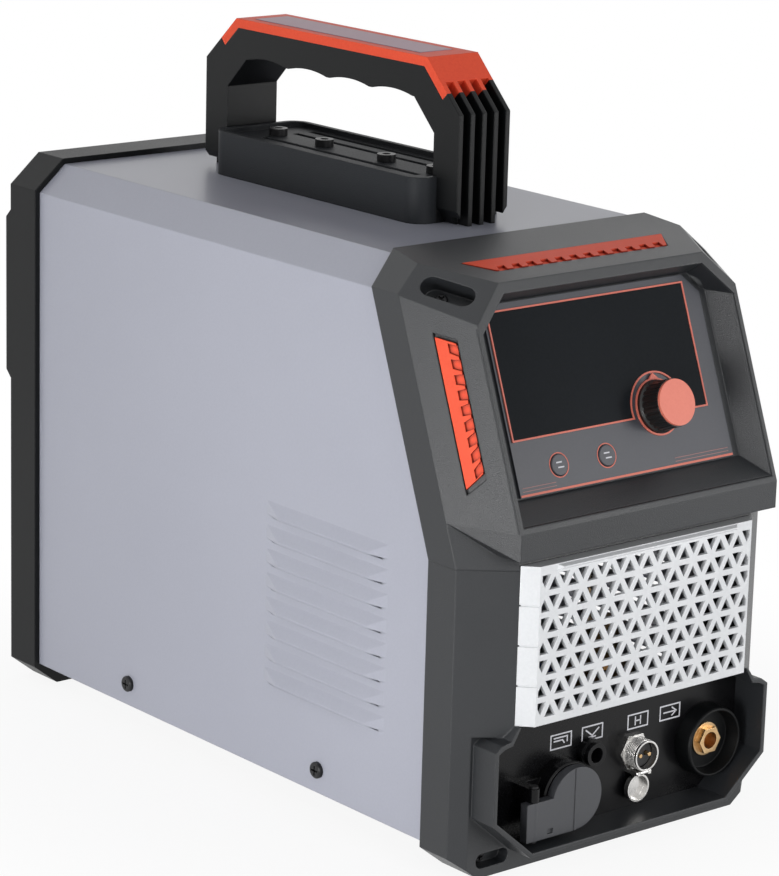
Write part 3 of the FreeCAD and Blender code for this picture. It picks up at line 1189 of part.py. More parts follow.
pin_holes = joined("pin_holes", [bay(rod(f"pin_hole_{i}", "trigger_pin_r + 0.3", 40),
                                     f"trigger_x + ({way} * trigger_pin_half)", "trigger_high", -20)
                                 for i, way in enumerate((-1, 1))])
keep(cut("insulator_drilled", insulator, pin_holes), "trigger_insulator")
pins = [bay(turned(f"contact_pin_{i}", [
    (0, "trigger_proud - 1.5"), ("trigger_pin_r", "trigger_proud - 1.5"), ("trigger_pin_r", -9.5),
    ("trigger_pin_r + 0.8", -9.5), ("trigger_pin_r + 0.8", -11), (0, -11)]),
    f"trigger_x + ({way} * trigger_pin_half)", "trigger_high") for i, way in enumerate((-1, 1))]
keep(grouped("pin_pair", pins), "trigger_pins")

CAP_AXIS = "bay_floor - cap_out"
CAP_HINGE = "trigger_high - cap_drop"
CAP_RIM = "2 * cap_out - trigger_proud - 0.2"
cap_cup = bay(turned("cap_cup", [
    (0, "1 - cap_tall"), ("cap_r - cap_wall", "1 - cap_tall"), ("cap_r - cap_wall", 0), ("cap_r", 0),
    ("cap_r", "1.2 - cap_tall"), ("cap_r - 1.2", "-cap_tall"), (0, "-cap_tall")]), "trigger_x",
    "trigger_high - 2 * cap_drop", CAP_RIM)
cap_tab = box("cap_tab", "trigger_x - 2.5", f"bay_floor - ({CAP_RIM})", "trigger_high - 2 * cap_drop + cap_r - 0.8",
              5, 2, "cap_drop - cap_r + 0.8 + cap_barrel_r - 0.2")
cap_arm = box("cap_arm", "trigger_x - 2.5", CAP_AXIS, f"({CAP_HINGE}) - cap_barrel_r + 0.1", 5,
              f"cap_out - ({CAP_RIM}) + 1", "cap_barrel_r * 2 - 0.3")
cap_barrel = place(rod("cap_barrel", "cap_barrel_r", 5), "trigger_x - 2.5", CAP_AXIS, CAP_HINGE, Y_AXIS, 90)
cap_bore = place(rod("cap_bore", "cap_pin_r + cap_pin_gap", 20), "trigger_x - 10", CAP_AXIS, CAP_HINGE, Y_AXIS, 90)
keep(cut("cap_solid", joined("cap_joined", [cap_cup, cap_tab, cap_arm, cap_barrel]), cap_bore), "dust_cap")
cap_pin_rod = place(rod("cap_pin_rod", "cap_pin_r", 9.4), "trigger_x - 4.6", CAP_AXIS, CAP_HINGE, Y_AXIS, 90)
cap_pin_head = place(rod("cap_pin_head", "cap_pin_r + 0.5", 0.8), "trigger_x - 5.4", CAP_AXIS, CAP_HINGE, Y_AXIS, 90)
keep(joined("cap_pin_solid", [cap_pin_rod, cap_pin_head]), "dust_cap_pin")

TORCH_OUT = "bay_floor - torch_front"
TORCH_PIN = "bay_floor - torch_pin_front"
keep(bay(turned("shroud", [
    ("torch_stem_r + 0.3", 0), ("torch_r + 0.6", 0), ("torch_r", TORCH_OUT + " - 1"),
    ("torch_r - 0.6", TORCH_OUT), ("torch_r - torch_wall", TORCH_OUT), ("torch_r - torch_wall - 1.4", 2.4),
    ("torch_stem_r + 0.3", 2.4)]), "torch_x", "torch_high"), "torch_shroud")
torch_nut = bay(padded("torch_nut", [(a.format("torch_flats / 1.7320508"), b.format("torch_flats / 1.7320508"))
                                     for a, b in hexagon], TORCH_PIN + " - 2.4"), "torch_x", "torch_high", 2.4)
torch_collar = bay(rod("torch_collar", "torch_flats / 2 + 2.4", 1.2), "torch_x", "torch_high", 2.4)
torch_stem = bay(rod("torch_stem", "torch_stem_r", 26), "torch_x", "torch_high", -20)
torch_bore = bay(rod("torch_bore", "torch_bore_r", "torch_bore_deep + 5"), "torch_x", "torch_high",
                 TORCH_PIN + " - torch_bore_deep")
torch_whole = joined("torch_whole", [torch_nut, torch_collar, torch_stem])
keep(cut("torch_hex_solid", torch_whole, torch_bore), "torch_hex")

# Handle


def handle_outline():
    """Outline of the whole handle seen from the side."""
    f, b, high, run = size("handle_front"), size("handle_back"), size("handle_high"), size("handle_front_run")
    leg, grip, inner, rear = size("handle_leg"), size("handle_grip"), size("handle_inner_run"), size("handle_rear_run")
    base = size("cover_top")
    return [(f, base), (f, high - run), (f + run, high), (b - rear, high),
            (b, high - size("handle_rear_drop")), (b, base), (b - leg, base), (b - leg, high - grip - inner),
            (b - leg - inner, high - grip), (f + leg + inner, high - grip), (f + leg, high - grip - inner),
            (f + leg, base)]


def cap_outline(extra=0):
    """Outline of the coloured cap along the grip's top, seen from the side."""
    f, b, high, run = size("handle_front"), size("handle_back"), size("handle_high"), size("handle_front_run")
    rear, thick = size("handle_rear_run"), size("capstrip_thick")
    start = f + 10
    under = thick * 0.7071
    drop, share = size("handle_rear_drop"), size("cap_rear_share")
    slant = math.hypot(rear, drop)
    out_y, out_z = drop / slant, rear / slant
    half_turn = math.tan(math.atan2(drop, rear) / 2)
    end_y, end_z = b - rear + share * rear, high - share * drop
    return [(start - extra, high - run + 10 + extra), (f + run - extra / 2, high + extra),
            (b - rear + extra * half_turn, high + extra), (end_y + out_y * extra, end_z + out_z * extra),
            (end_y - out_y * thick, end_z - out_z * thick), (b - rear - thick * half_turn, high - thick),
            (f + run + thick * 0.414, high - thick), (start + under, high - run + 10 - under)]


def grip_grooves(reach):
    """Grooves between the ribs at both ends of the handle."""
    f, b, high, run = size("handle_front"), size("handle_back"), size("handle_high"), size("handle_front_run")
    deep, wide = size("handle_groove_deep"), size("handle_groove")
    low = size("cover_top") - 1
    ribs = int(size("handle_ribs"))
    rib = (size("handle_wide") - (ribs - 1) * wide) / ribs
    grooves = []
    for i in range(ribs - 1):
        x = -size("handle_wide") / 2 + rib + i * (rib + wide)
        front = [(f - 1, low), (f + deep, low), (f + deep, high - run - 0.41 * deep),
                 (f + 10 + reach + 0.7 * deep, high - run + 10 + reach - 0.7 * deep),
                 (f + 10 + reach, high - run + 10 + reach), (f + 9 + reach, high - run + 12 + reach),
                 (f - 1, high - run + 2)]
        rear = [(b + 1, low), (b - deep, low), (b - deep, high - size("handle_rear_drop") - 12),
                (b + 1, high - size("handle_rear_drop") - 7)]
        for outline in (front, rear):
            grooves.append(prism([Vector(x, y, z) for y, z in outline], Vector(wide, 0, 0)))
    return Part.makeCompound(grooves)


def last_finger(grow):
    """The place on the right-hand rib where the cap has no finger."""
    f, high, run = size("handle_front"), size("handle_high"), size("handle_front_run")
    ribs, wide = int(size("handle_ribs")), size("handle_groove")
    rib = (size("handle_wide") - (ribs - 1) * wide) / ribs
    left = size("handle_wide") / 2 - rib - wide / 2 - grow
    edge = [(f - 5, high - run - 5), (f + 10 + 4, high - run + 10 + 4 + grow), (f + 10 + 14, high - run + 10 - 6 + grow),
            (f + 15, high - run - 25)]
    return prism([Vector(left, y, z) for y, z in edge], Vector(size("handle_wide"), 0, 0))


def handle_frame():
    """Moulded arch of the handle with ribbed ends and finger scallops."""
    wide = size("handle_wide") / 2
    cap_room = side_prism(cap_outline(3), wide + 1).cut(last_finger(-0.05))
    arch_solid = side_prism(handle_outline(), wide).cut(cap_room)
    arch_solid = arch_solid.cut(grip_grooves(5))
    low = size("handle_high") - size("handle_grip")
    start = size("handle_front") + size("handle_leg") + size("handle_inner_run")
    end = size("handle_back") - size("handle_leg") - size("handle_inner_run")
    count = int(size("scallops"))
    pitch = (end - start) / count
    deep, chord = size("scallop_deep"), pitch * 0.46
    radius = (chord ** 2 + deep ** 2) / (2 * deep)
    for i in range(count):
        centre = Vector(-wide - 1, start + (i + 0.5) * pitch, low + deep - radius)
        hollow = Part.makeCylinder(radius, 2 * wide + 2, centre, X_AXIS)
        arch_solid = arch_solid.cut(hollow.common(side_prism(
            [(start, low - 0.5), (end, low - 0.5), (end, low + 2 * deep), (start, low + 2 * deep)], wide + 1)))
    base = size("cover_top")
    for side in (-1, 1):
        for near, far in ((size("handle_front") - 1, size("tray_front")),
                          (size("tray_back"), size("handle_back") + 1)):
            arch_solid = arch_solid.cut(front_prism([(side * (wide - 7), base - 1), (side * (wide + 1), base - 1),
                                                     (side * (wide + 1), base + 9), (side * wide, base + 8)],
                                                    near, far))
    return arch_solid


def inset_block(grow, low, high):
    """The pale inset on the grip's top."""
    return Part.makeBox(2 * (size("inset_half") + grow), size("inset_back") - size("inset_front") + 2 * grow,
                        high - low, Vector(-size("inset_half") - grow, size("inset_front") - grow, low))


def handle_cap():
    """Coloured cap over the grip with teeth that run into the front ribs."""
    top = size("handle_high")
    cap = side_prism(cap_outline(), size("handle_wide") / 2).cut(grip_grooves(5)).cut(last_finger(0.05))
    return cap.cut(inset_block(0.1, top - size("inset_thick") + size("inset_proud"), top + 5))


def rounded_block(wide, near, far, low, high, radius):
    """A block with rounded upright corners, centred on the middle plane."""
    block = Part.makeBox(2 * wide, far - near, high - low, Vector(-wide, near, low))
    upright = [e for e in block.Edges if abs(e.Vertexes[0].Z - e.Vertexes[1].Z) > 1e-6]
    return block.makeFillet(radius, upright)


def handle_tray():
    """Tray round the foot of the handle: rim, recess and long slots."""
    low = size("cover_top")
    high = low + size("tray_tall")
    half_wide, near, far, rim = size("tray_half"), size("tray_front"), size("tray_back"), size("tray_rim")
    tray = rounded_block(half_wide, near, far, low, high, size("tray_round"))
    tray = tray.cut(rounded_block(half_wide - rim, near + rim, far - rim, high - size("tray_deep"), high + 1,
                                  size("tray_round") - rim))
    slots = []
    for x in (-half_wide * 0.72, -half_wide * 0.36, half_wide * 0.36, half_wide * 0.72):
        slots.append(Part.makeBox(size("slot_wide"), far - near - 44, size("slot_deep") + 1,
                                  Vector(x - size("slot_wide") / 2, near + 22, high - size("slot_deep"))))
    for y0, y1 in ((size("handle_front") - 1, size("handle_front") + size("handle_leg")),
                   (size("handle_back") - size("handle_leg"), size("handle_back") + 1)):
        slots.append(Part.makeBox(size("handle_wide"), y1 - y0, size("tray_tall") + 2,
                                  Vector(-size("handle_wide") / 2, y0, low - 1)))
    for y in bolt_depths():
        slots.append(Part.makeCylinder(size("handle_bolt_r") * 0.6 + 0.3, size("tray_tall") + 2,
                                       Vector(0, y, low - 1), Z_AXIS))
    return tray.cut(Part.makeCompound(slots))


keep(shaped("handle_frame_solid", handle_frame()), "handle_frame")
keep(shaped("handle_cap_solid", handle_cap()), "handle_cap")
inset_low = size("handle_high") - size("inset_thick") + size("inset_proud")
keep(shaped("handle_inset_solid", inset_block(0, inset_low, inset_low + size("inset_thick"))), "handle_inset")
keep(shaped("handle_tray_solid", handle_tray()), "handle_tray")
bolts = []
for y in bolt_depths():
    floor = size("cover_top") + size("tray_tall") - size("tray_deep")
    head = Part.makeCylinder(size("handle_bolt_r"), size("handle_bolt_tall"), Vector(0, y, floor), Z_AXIS)
    shank = Part.makeCylinder(size("handle_bolt_r") * 0.6, size("tray_tall") + 5, Vector(0, y, floor), Z_AXIS * -1)
    key = Part.makeCylinder(size("handle_bolt_r") * 0.45, 3, Vector(0, y, floor + size("handle_bolt_tall") - 2), Z_AXIS)
    bolts.append(head.fuse(shank).cut(key))
keep(shaped("handle_bolt_set", Part.makeCompound(bolts)), "handle_bolts")

# Rear


def rear_outline(grow):
    """Octagon of the rear frame, moved outwards by grow."""
    lower, upper = shoulder_offset(half - size("cover_wide") / 2 + grow)
    wide, foot_in, foot_up = half + grow, size("foot_in"), size("foot_up")
    return mirrored([(half - foot_in + grow * 0.4, -grow), (wide, foot_up - grow * 0.45), lower, upper])


def rear_frame():
    """Rear moulding: octagonal rim, step for the panel, tongue under the cover and bumpers."""
    near, far = size("case_deep") - size("frame_deep"), size("case_deep")
    seat = far - size("rear_set")
    wall = size("bezel_wall")
    frame = front_prism(rear_outline(0), near, far)
    frame = frame.cut(front_prism(rear_outline(-size("rear_rim")), seat - 1, far + 1))
    frame = frame.cut(front_prism(rear_outline(-wall - 3), near - 1, seat))
    inner_gap = size("gauge") + size("skin_gap")
    reach = size("tongue_reach")
    tongue = front_prism(arch(-inner_gap, size("cover_low") + 1), near - reach, near + 3).cut(
        front_prism(arch(-inner_gap - size("tongue"), 0), near - reach - 1, near + 4))
    frame = frame.fuse(tongue)
    for side in (-1, 1):
        x = half - size("bumper_wide") if side > 0 else -half
        bumper = Part.makeBox(size("bumper_wide"), size("bumper_deep") + 1, size("bumper_high") - size("bumper_low"),
                              Vector(x, far - 1, size("bumper_low")))
        inner = x if side > 0 else x + size("bumper_wide")
        bumper = bumper.cut(beyond(Vector(inner, far, 0), Vector(-side * size("bumper_deep"), size("bumper_wide") / 3, 0)))
        for level, way in ((size("bumper_low"), -1), (size("bumper_high"), 1)):
            bumper = bumper.cut(beyond(Vector(0, far, level), Vector(0, 1, way)))
        frame = frame.fuse(bumper)
    return frame


def rear_screw_seats():
    """Where the rear panel's screws stand."""
    x = half - size("rear_rim") - size("rear_screw_in")
    levels = [size("rear_screw_low") + i * size("rear_screw_step") for i in range(3)]
    return [Vector(side * x, size("case_deep") - size("rear_set"), level) for side in (-1, 1) for level in levels]


def rear_panel():
    """Steel rear panel with its openings."""
    far = size("case_deep") - size("rear_set")
    near = far - size("plate")
    panel = front_prism(rear_outline(-size("bezel_wall") - 3.2), near, far)
    middle = Vector(0, near - 1, size("fan_high"))
    deep = size("plate") + 2
    holes = [Part.makeCylinder(size("fan_r"), deep, middle, Y_AXIS),
             Part.makeBox(size("switch_wide"), deep, size("switch_tall"),
                          Vector(size("switch_x") - size("switch_wide") / 2, near - 1,
                                 size("switch_high") - size("switch_tall") / 2))]
    for name, radius in (("gland", size("gland_r")), ("inlet", size("inlet_r") - 0.5), ("earth", size("earth_r"))):
        holes.append(Part.makeCylinder(radius + 0.3, deep, Vector(size(name + "_x"), near - 1, size(name + "_high")),
                                       Y_AXIS))
    for seat in rear_screw_seats():
        holes.append(Part.makeCylinder(size("rear_screw_r") / 2 + 0.3, deep, seat - Y_AXIS * (deep - 1), Y_AXIS))
    return panel.cut(Part.makeCompound(holes))


PANEL = "case_deep - rear_set"
keep(shaped("rear_frame_solid", rear_frame()), "rear_frame")
keep(shaped("rear_panel_solid", rear_panel()), "rear_panel")


def fan_guard():
    """Rings and spokes over the fan opening, lying on the rear panel."""
    wire = size("guard_wire")
    centre = Vector(0, size("case_deep") - size("rear_set"), size("fan_high"))
    solid = None
    rings = int(size("guard_rings"))
    outer = size("fan_r") + 2.4
    for i in range(rings):
        radius = outer - i * (outer - 12) / (rings - 1)
        ring = Part.makeCylinder(radius, wire, centre, Y_AXIS).cut(
            Part.makeCylinder(radius - wire, wire, centre, Y_AXIS))
        solid = ring if solid is None else solid.fuse(ring)
    for turn in (45, 135):
        spoke = Part.makeBox(2 * outer - 1, wire, wire * 1.6, Vector(-outer + 0.5, 0, -wire * 0.8))
        spoke.Placement = FreeCAD.Placement(centre, Rotation(Y_AXIS, turn))
        solid = solid.fuse(spoke)
    return solid


keep(shaped("fan_guard_solid", fan_guard()), "fan_guard")


def fan_frame():
    """Square fan frame with its round duct, struts and spindle."""
    far = size("case_deep") - size("rear_set") - size("plate")
    thick, side = size("fan_thick"), size("fan_side")
    near = far - thick
    frame = Part.makeBox(side, thick, side, Vector(-side / 2, near, size("fan_high") - side / 2))
    axis = Vector(0, near, size("fan_high"))
    frame = frame.cut(Part.makeCylinder(size("fan_r"), thick + 2, axis - Y_AXIS, Y_AXIS))
    carrier = Part.makeCylinder(size("hub_r"), 3, axis, Y_AXIS)
    for turn in (0, 90):
        strut = Part.makeBox(side - 2, 3, 5, Vector(-side / 2 + 1, 0, -2.5))
        strut.Placement = FreeCAD.Placement(axis, Rotation(Y_AXIS, turn))
        carrier = carrier.fuse(strut)
    return frame.fuse(carrier).fuse(Part.makeCylinder(size("fan_pin_r"), thick - 6, axis, Y_AXIS))


def fan_rotor():
    """Hub with its blades."""
    far = size("case_deep") - size("rear_set") - size("plate")
    near = far - size("fan_thick")
    axis = Vector(0, near + 4, size("fan_high"))
    tall = size("fan_thick") - 7
    rotor = Part.makeCylinder(size("hub_r"), tall, axis, Y_AXIS)
    reach = size("fan_r") - 2.5
    count = int(size("fan_blades"))
    for i in range(count):
        blade = Part.makeBox(reach, 2, tall * 1.25, Vector(0, -1, -tall * 0.625))
        blade.Placement = FreeCAD.Placement(Vector(), Rotation(X_AXIS, 52))
        blade.translate(Vector(0, near + 4 + tall / 2, 0))
        slab = Part.makeBox(4 * reach, tall - 2, 4 * reach, Vector(-2 * reach, near + 5, -2 * reach))
        blade = blade.common(slab)
        blade = blade.common(Part.makeCylinder(reach, 3 * tall, Vector(0, near - tall, 0), Y_AXIS))
        blade.rotate(Vector(), Y_AXIS, 360 * i / count)
        blade.translate(Vector(0, 0, size("fan_high")))
        rotor = rotor.fuse(blade)
    return rotor.cut(Part.makeCylinder(size("fan_pin_r") + size("fan_pin_gap"), tall - 1, axis - Y_AXIS, Y_AXIS))


keep(shaped("fan_frame_solid", fan_frame()), "fan_frame")
keep(shaped("fan_rotor_solid", fan_rotor()), "fan_rotor")

SWITCH = "switch_wide - 8"
switch_flange = box("switch_flange", "switch_x - switch_wide / 2 - 3", PANEL, "switch_high - switch_tall / 2 - 3",
                    "switch_wide + 6", 2.5, "switch_tall + 6")
switch_case = box("switch_case", "switch_x - switch_wide / 2 + 0.4", PANEL + " - 24",
                  "switch_high - switch_tall / 2 + 0.4", "switch_wide - 0.8", 26, "switch_tall - 0.8")
switch_room = box("switch_room", "switch_x - switch_wide / 2 + 4", PANEL + " - 12",
                  "switch_high - switch_tall / 2 + 4", SWITCH, 20, "switch_tall - 8")
trunnion_hole = place(rod("trunnion_hole", 1.65, "switch_wide - 4"), "switch_x - switch_wide / 2 + 2",
                      PANEL + " - 4", "switch_high", Y_AXIS, 90)
switch_stock = joined("switch_stock", [switch_flange, switch_case])
keep(cut("switch_solid", cut("switch_hollow", switch_stock, switch_room), trunnion_hole), "power_switch_body")
rocker_face = padded("rocker_face", [
    ("-switch_tall / 2 + 6", 0), (-2, -4), (2, -4), ("switch_tall / 2 - 6", 0), ("switch_tall / 2 - 6", 5.5),
    (0, 3.4), ("-switch_tall / 2 + 6", 5.5)], SWITCH + " - 1")
rocker_rod = rod("rocker_rod", 1.6, "switch_wide - 4.4")
rocker_rod.setExpression("Placement.Base.z", formula("(switch_wide - 9 - (switch_wide - 4.4)) / 2"))
rocker_fused = joined("rocker_fused", [rocker_face, rocker_rod])
place(rocker_fused, "switch_x + switch_wide / 2 - 4.5", PANEL + " - 4", "switch_high")
rocker_turn = Rotation(X_AXIS, size("rocker_swing")).multiply(Rotation(Y_AXIS, -90))
rocker_fused.Placement = FreeCAD.Placement(rocker_fused.Placement.Base, rocker_turn)
keep(rocker_fused, "power_switch_rocker")


def rear(obj, x, high, out="0"):
    """Put an object on the rear panel, its own Z axis pointing out of the rear."""
    return place_rearward(obj, x, f"{PANEL} + ({out})", high)


keep(rear(turned("gland", [
    ("gland_bore_r", 11.5), ("gland_r - 1", 11.5), ("gland_r + 1", 8), ("gland_r + 1", 5), ("gland_r + 3", 5),
    ("gland_r + 3", 0), ("gland_r", 0), ("gland_r", -8), ("gland_bore_r", -8)]), "gland_x", "gland_high"),
     "cable_gland")
keep(rear(turned("inlet", [
    ("inlet_bore_r", 14), ("inlet_r - 1", 14), ("inlet_r", 11.5), ("inlet_r - 1", 11.5), ("inlet_r", 8.5),
    ("inlet_r - 1", 8.5), ("inlet_r - 1", 4), ("inlet_r + 3.5", 4), ("inlet_r + 3.5", 0), ("inlet_r - 0.5", 0),
    ("inlet_r - 0.5", -14), ("inlet_bore_r", -14)]), "inlet_x", "inlet_high"), "air_inlet")
keep(rear(turned("earth", [
    (0, 11), ("earth_r", 11), ("earth_r", 4), ("earth_r + 3.5", 4), ("earth_r + 3.5", 0), ("earth_r", 0),
    ("earth_r", -6), (0, -6)]), "earth_x", "earth_high"), "earth_stud")

# Inside

BASE = "cover_low + 1 + plate"
keep(box("main_board_solid", "-shelf_half", "shelf_front", "shelf_high", "2 * shelf_half", "shelf_back - shelf_front",
         "board_thick"), "main_board")
posts = [place(rod(f"post_{i}", 4, f"shelf_high - ({BASE})"), x, y, BASE) for i, (x, y) in enumerate((
    ("-shelf_half + 8", "shelf_front + 8"), ("shelf_half - 8", "shelf_front + 8"),
    ("-shelf_half + 8", "shelf_back - 8"), ("shelf_half - 8", "shelf_back - 8")))]
keep(grouped("post_set", posts), "board_posts")
TOP = "shelf_high + board_thick"


def heat_sink():
    """Finned heat sink standing on the main board."""
    low = size("shelf_high") + size("board_thick")
    wide, count = size("sink_wide"), int(size("sink_fins"))
    y0, y1 = size("shelf_front") + 20, size("shelf_back") - 45
    x0 = -size("shelf_half") + 4
    sink = Part.makeBox(wide, y1 - y0, size("sink_base"), Vector(x0, y0, low))
    step = (wide - 2) / (count - 1)
    for i in range(count):
        sink = sink.fuse(Part.makeBox(2, y1 - y0, size("sink_tall"), Vector(x0 + i * step, y0, low)))
    return sink


keep(shaped("heat_sink_solid", heat_sink()), "heat_sink")
rectifiers = [box(f"rectifier_{i}", "-shelf_half + sink_wide + 6", f"shelf_front + 30 + {i} * 45", TOP, 12, 30, 22)
              for i in range(3)]
keep(grouped("rectifier_set", rectifiers), "rectifier")
cans = [place(rod(f"can_{i}", "can_r", "can_tall"), f"6 + {i % 2} * (2 * can_r + 4) + can_r",
              f"shelf_front + 40 + {i // 2} * (2 * can_r + 6)", TOP) for i in range(4)]
keep(grouped("can_set", cans), "capacitor_bank")
core_block = box("core_block", "core_x", "shelf_front + 60", BASE, "core_wide", "core_deep",
                 "core_tall")
windows = joined("core_windows", [
    box(f"core_window_{i}", f"core_x + core_wide * {share}", "shelf_front + 59",
        f"({BASE}) + core_wide * 0.15", "core_wide * 0.2", "core_deep + 2", "core_tall - core_wide * 0.3")
    for i, share in enumerate((0.15, 0.65))])
keep(cut("core_solid", core_block, windows), "transformer_core")


def transformer_winding():
    """Coil block round the middle leg of the core."""
    wide, deep, tall = size("core_wide"), size("core_deep"), size("core_tall")
    low = size("cover_low") + 1 + size("plate") + wide * 0.15
    middle = Vector(size("core_x") + wide / 2, size("shelf_front") + 60 + deep / 2, low + 0.3)
    high = tall - wide * 0.3 - 0.6
    leg_x, leg_y = wide * 0.15 + 0.3, deep / 2 + 0.3
    out_x, out_y = wide * 0.35 - 0.3, deep / 2 + wide * 0.2
    coil = Part.makeBox(2 * out_x, 2 * out_y, high, middle - Vector(out_x, out_y, 0.3))
    return coil.cut(Part.makeBox(2 * leg_x, 2 * leg_y, high + 2, middle - Vector(leg_x, leg_y, 1.3)))


keep(shaped("winding_solid", transformer_winding()), "transformer_winding")
keep(place(turned("choke", [("choke_hole_r", 0), ("choke_r - 3", 0), ("choke_r", 3), ("choke_r", "choke_tall - 3"),
                            ("choke_r - 3", "choke_tall"), ("choke_hole_r", "choke_tall")]),
           "-shelf_half + 12 + choke_r", "shelf_front + 70", BASE), "output_inductor")
valve_low = box("valve_low", "torch_x - valve_wide / 2", "shelf_front - 30", BASE, "valve_wide", "valve_wide", 45)
valve_coil = place(rod("valve_coil", "valve_wide / 2 - 2", 24), "torch_x", "shelf_front - 30 + valve_wide / 2",
                   f"{BASE} + 45")
keep(joined("valve_solid", [valve_low, valve_coil]), "solenoid_valve")


def air_pipe():
    """Pipe from the air inlet's tail down behind the boards to the valve's rear port."""
    start = Vector(size("inlet_x"), size("case_deep") - size("rear_set") - 14, size("inlet_high"))
    end = Vector(size("torch_x"), size("shelf_front") - 30 + size("valve_wide"), size("cover_low") + 30)
    bend = 18
    knee = Vector(start.x, size("shelf_back") + 8, start.z)
    low = Vector(start.x, knee.y, end.z)
    corner = Vector(start.x, size("shelf_front") + 60 - size("core_wide") * 0.2 - size("pipe_r")
                    - size("pipe_clear"), end.z)
    side = Vector(end.x, corner.y, end.z)
    points = [start, knee, low, corner, side, end]
    edges = []
    last = points[0]
    for i in range(1, len(points) - 1):
        back = (points[i - 1] - points[i]).normalize()
        ahead = (points[i + 1] - points[i]).normalize()
        first, second = points[i] + back * bend, points[i] + ahead * bend
        centre = points[i] + (back + ahead) * bend
        middle = centre + (points[i] - centre).normalize() * bend
        if (first - last).Length > 0.01:
            edges.append(Part.makeLine(last, first))
        edges.append(Part.Arc(first, middle, second).toShape())
        last = second
    edges.append(Part.makeLine(last, points[-1]))
    route = Part.Wire(edges)
    ring = Part.Wire(Part.makeCircle(size("pipe_r"), start, Y_AXIS))
    return route.makePipeShell([ring], True, True)


keep(shaped("air_pipe_solid", air_pipe()), "air_pipe")

# Fasteners


def screw(middle, facing, radius, tall, shank):
    """A pan-head screw with a cross recess, its head standing on a face."""
    head = Part.makeCylinder(radius, tall, middle, facing)
    head = head.makeFillet(tall * 0.45, [e for e in head.Edges if len(e.Vertexes) == 1 and
                                         abs((e.CenterOfMass - middle).dot(facing) - tall) < 1e-6])
    stem = Part.makeCylinder(radius / 2, shank, middle, facing * -1)
    across = facing.cross(X_AXIS if abs(facing.x) < 0.9 else Z_AXIS).normalize()
    slot = None
    for way in (across, facing.cross(across)):
        other = facing.cross(way)
        bar = prism([middle + facing * (tall * 0.4) + way * a + other * b for a, b in (
            (-radius * 0.6, -0.5), (radius * 0.6, -0.5), (radius * 0.6, 0.5), (-radius * 0.6, 0.5))], facing * tall)
        slot = bar if slot is None else slot.fuse(bar)
    return head.fuse(stem).cut(slot)


side_screws = []
for side in (-1, 1):
    for y in (size("side_screw_front"), size("side_screw_back")):
        side_screws.append(screw(Vector(side * size("cover_wide") / 2, y, size("side_screw_high")),
                                 Vector(side, 0, 0), size("side_screw_r"), size("side_screw_tall"), 6))
keep(shaped("side_screw_set", Part.makeCompound(side_screws)), "cover_screws")


keep(shaped("corner_screw_set", Part.makeCompound([
    screw(middle, facing, size("corner_screw_r"), size("corner_screw_tall"), 7)
    for middle, facing in corner_screw_seats()])), "corner_screws")
rear_heads = [screw(seat, Y_AXIS, size("rear_screw_r"), 2, 4) for seat in rear_screw_seats()]
keep(shaped("rear_screw_set", Part.makeCompound(rear_heads)), "rear_screws")

doc.recompute()
failed = [o.Name for o in doc.Objects if "Invalid" in o.State or "Error" in o.State]
if failed:
    raise RuntimeError(f"failed objects: {failed}")
os.makedirs("parts", exist_ok=True)
for part in PARTS:
    shape = part.Shape
    if shape.isNull() or not shape.isValid() or not shape.Solids:
        raise RuntimeError(f"{part.Label} has no valid solid")
    shape.exportStep(f"parts/{part.Label}.step")
    print(part.Label, len(shape.Solids), round(shape.Volume))
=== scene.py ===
# %% [markdown]
# # An inverter plasma cutter in a pale studio
#
# The unit is a folded steel cover between two dark mouldings. It has a control panel that leans back, a
# silver grille, a bay of connectors and a carrying handle. The imported model holds every solid at its
# place. This script gives each surface its finish, then adds the printed lines, symbols, thread and
# small marks that are too thin to be solids, and last sets up the studio.
#
# Lengths in the model are metres: +X to the right seen from the front, +Y to the rear, +Z up.
#
# ## Load the model
#
# Each mesh takes its place into its points, and the empties that held the pieces are removed.

# %% Load the imported model
import math

import bpy
import numpy as np
from mathutils import Matrix, Vector


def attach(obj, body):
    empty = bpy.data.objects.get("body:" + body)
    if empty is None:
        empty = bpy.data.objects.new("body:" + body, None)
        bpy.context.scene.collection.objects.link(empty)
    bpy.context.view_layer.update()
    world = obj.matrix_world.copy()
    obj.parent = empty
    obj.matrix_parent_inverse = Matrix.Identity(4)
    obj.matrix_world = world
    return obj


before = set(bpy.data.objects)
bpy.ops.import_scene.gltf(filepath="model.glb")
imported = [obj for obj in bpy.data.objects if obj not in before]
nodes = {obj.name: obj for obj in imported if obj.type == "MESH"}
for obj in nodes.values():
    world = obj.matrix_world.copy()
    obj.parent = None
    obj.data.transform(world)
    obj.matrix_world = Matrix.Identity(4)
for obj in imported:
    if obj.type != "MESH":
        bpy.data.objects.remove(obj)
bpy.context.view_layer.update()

# %% [markdown]
# ## Shader groups
#
# Two effects are the same on every finish of the unit, with other values: moulded or painted surfaces
# have a grain and softly rounded edges, and no surface is one flat colour. They could be built anew in
# each material. As groups they are built once, and each material only sets their inputs.
#
# The helpers below make a node with its settings, and join sockets in pairs.

# %% Helpers for node trees
def shader_node(tree, kind, inputs=None, **settings):
    """A shader node with its settings, and then the values of its sockets."""
    made = tree.nodes.new("ShaderNode" + kind)
    for label, value in settings.items():
        setattr(made, label, value)
    for socket, value in (inputs or {}).items():
        made.inputs[socket].default_value = value
    return made


def join(tree, *pairs):
    """Link each output to its input."""
    for output, goal in pairs:
        tree.links.new(output, goal)


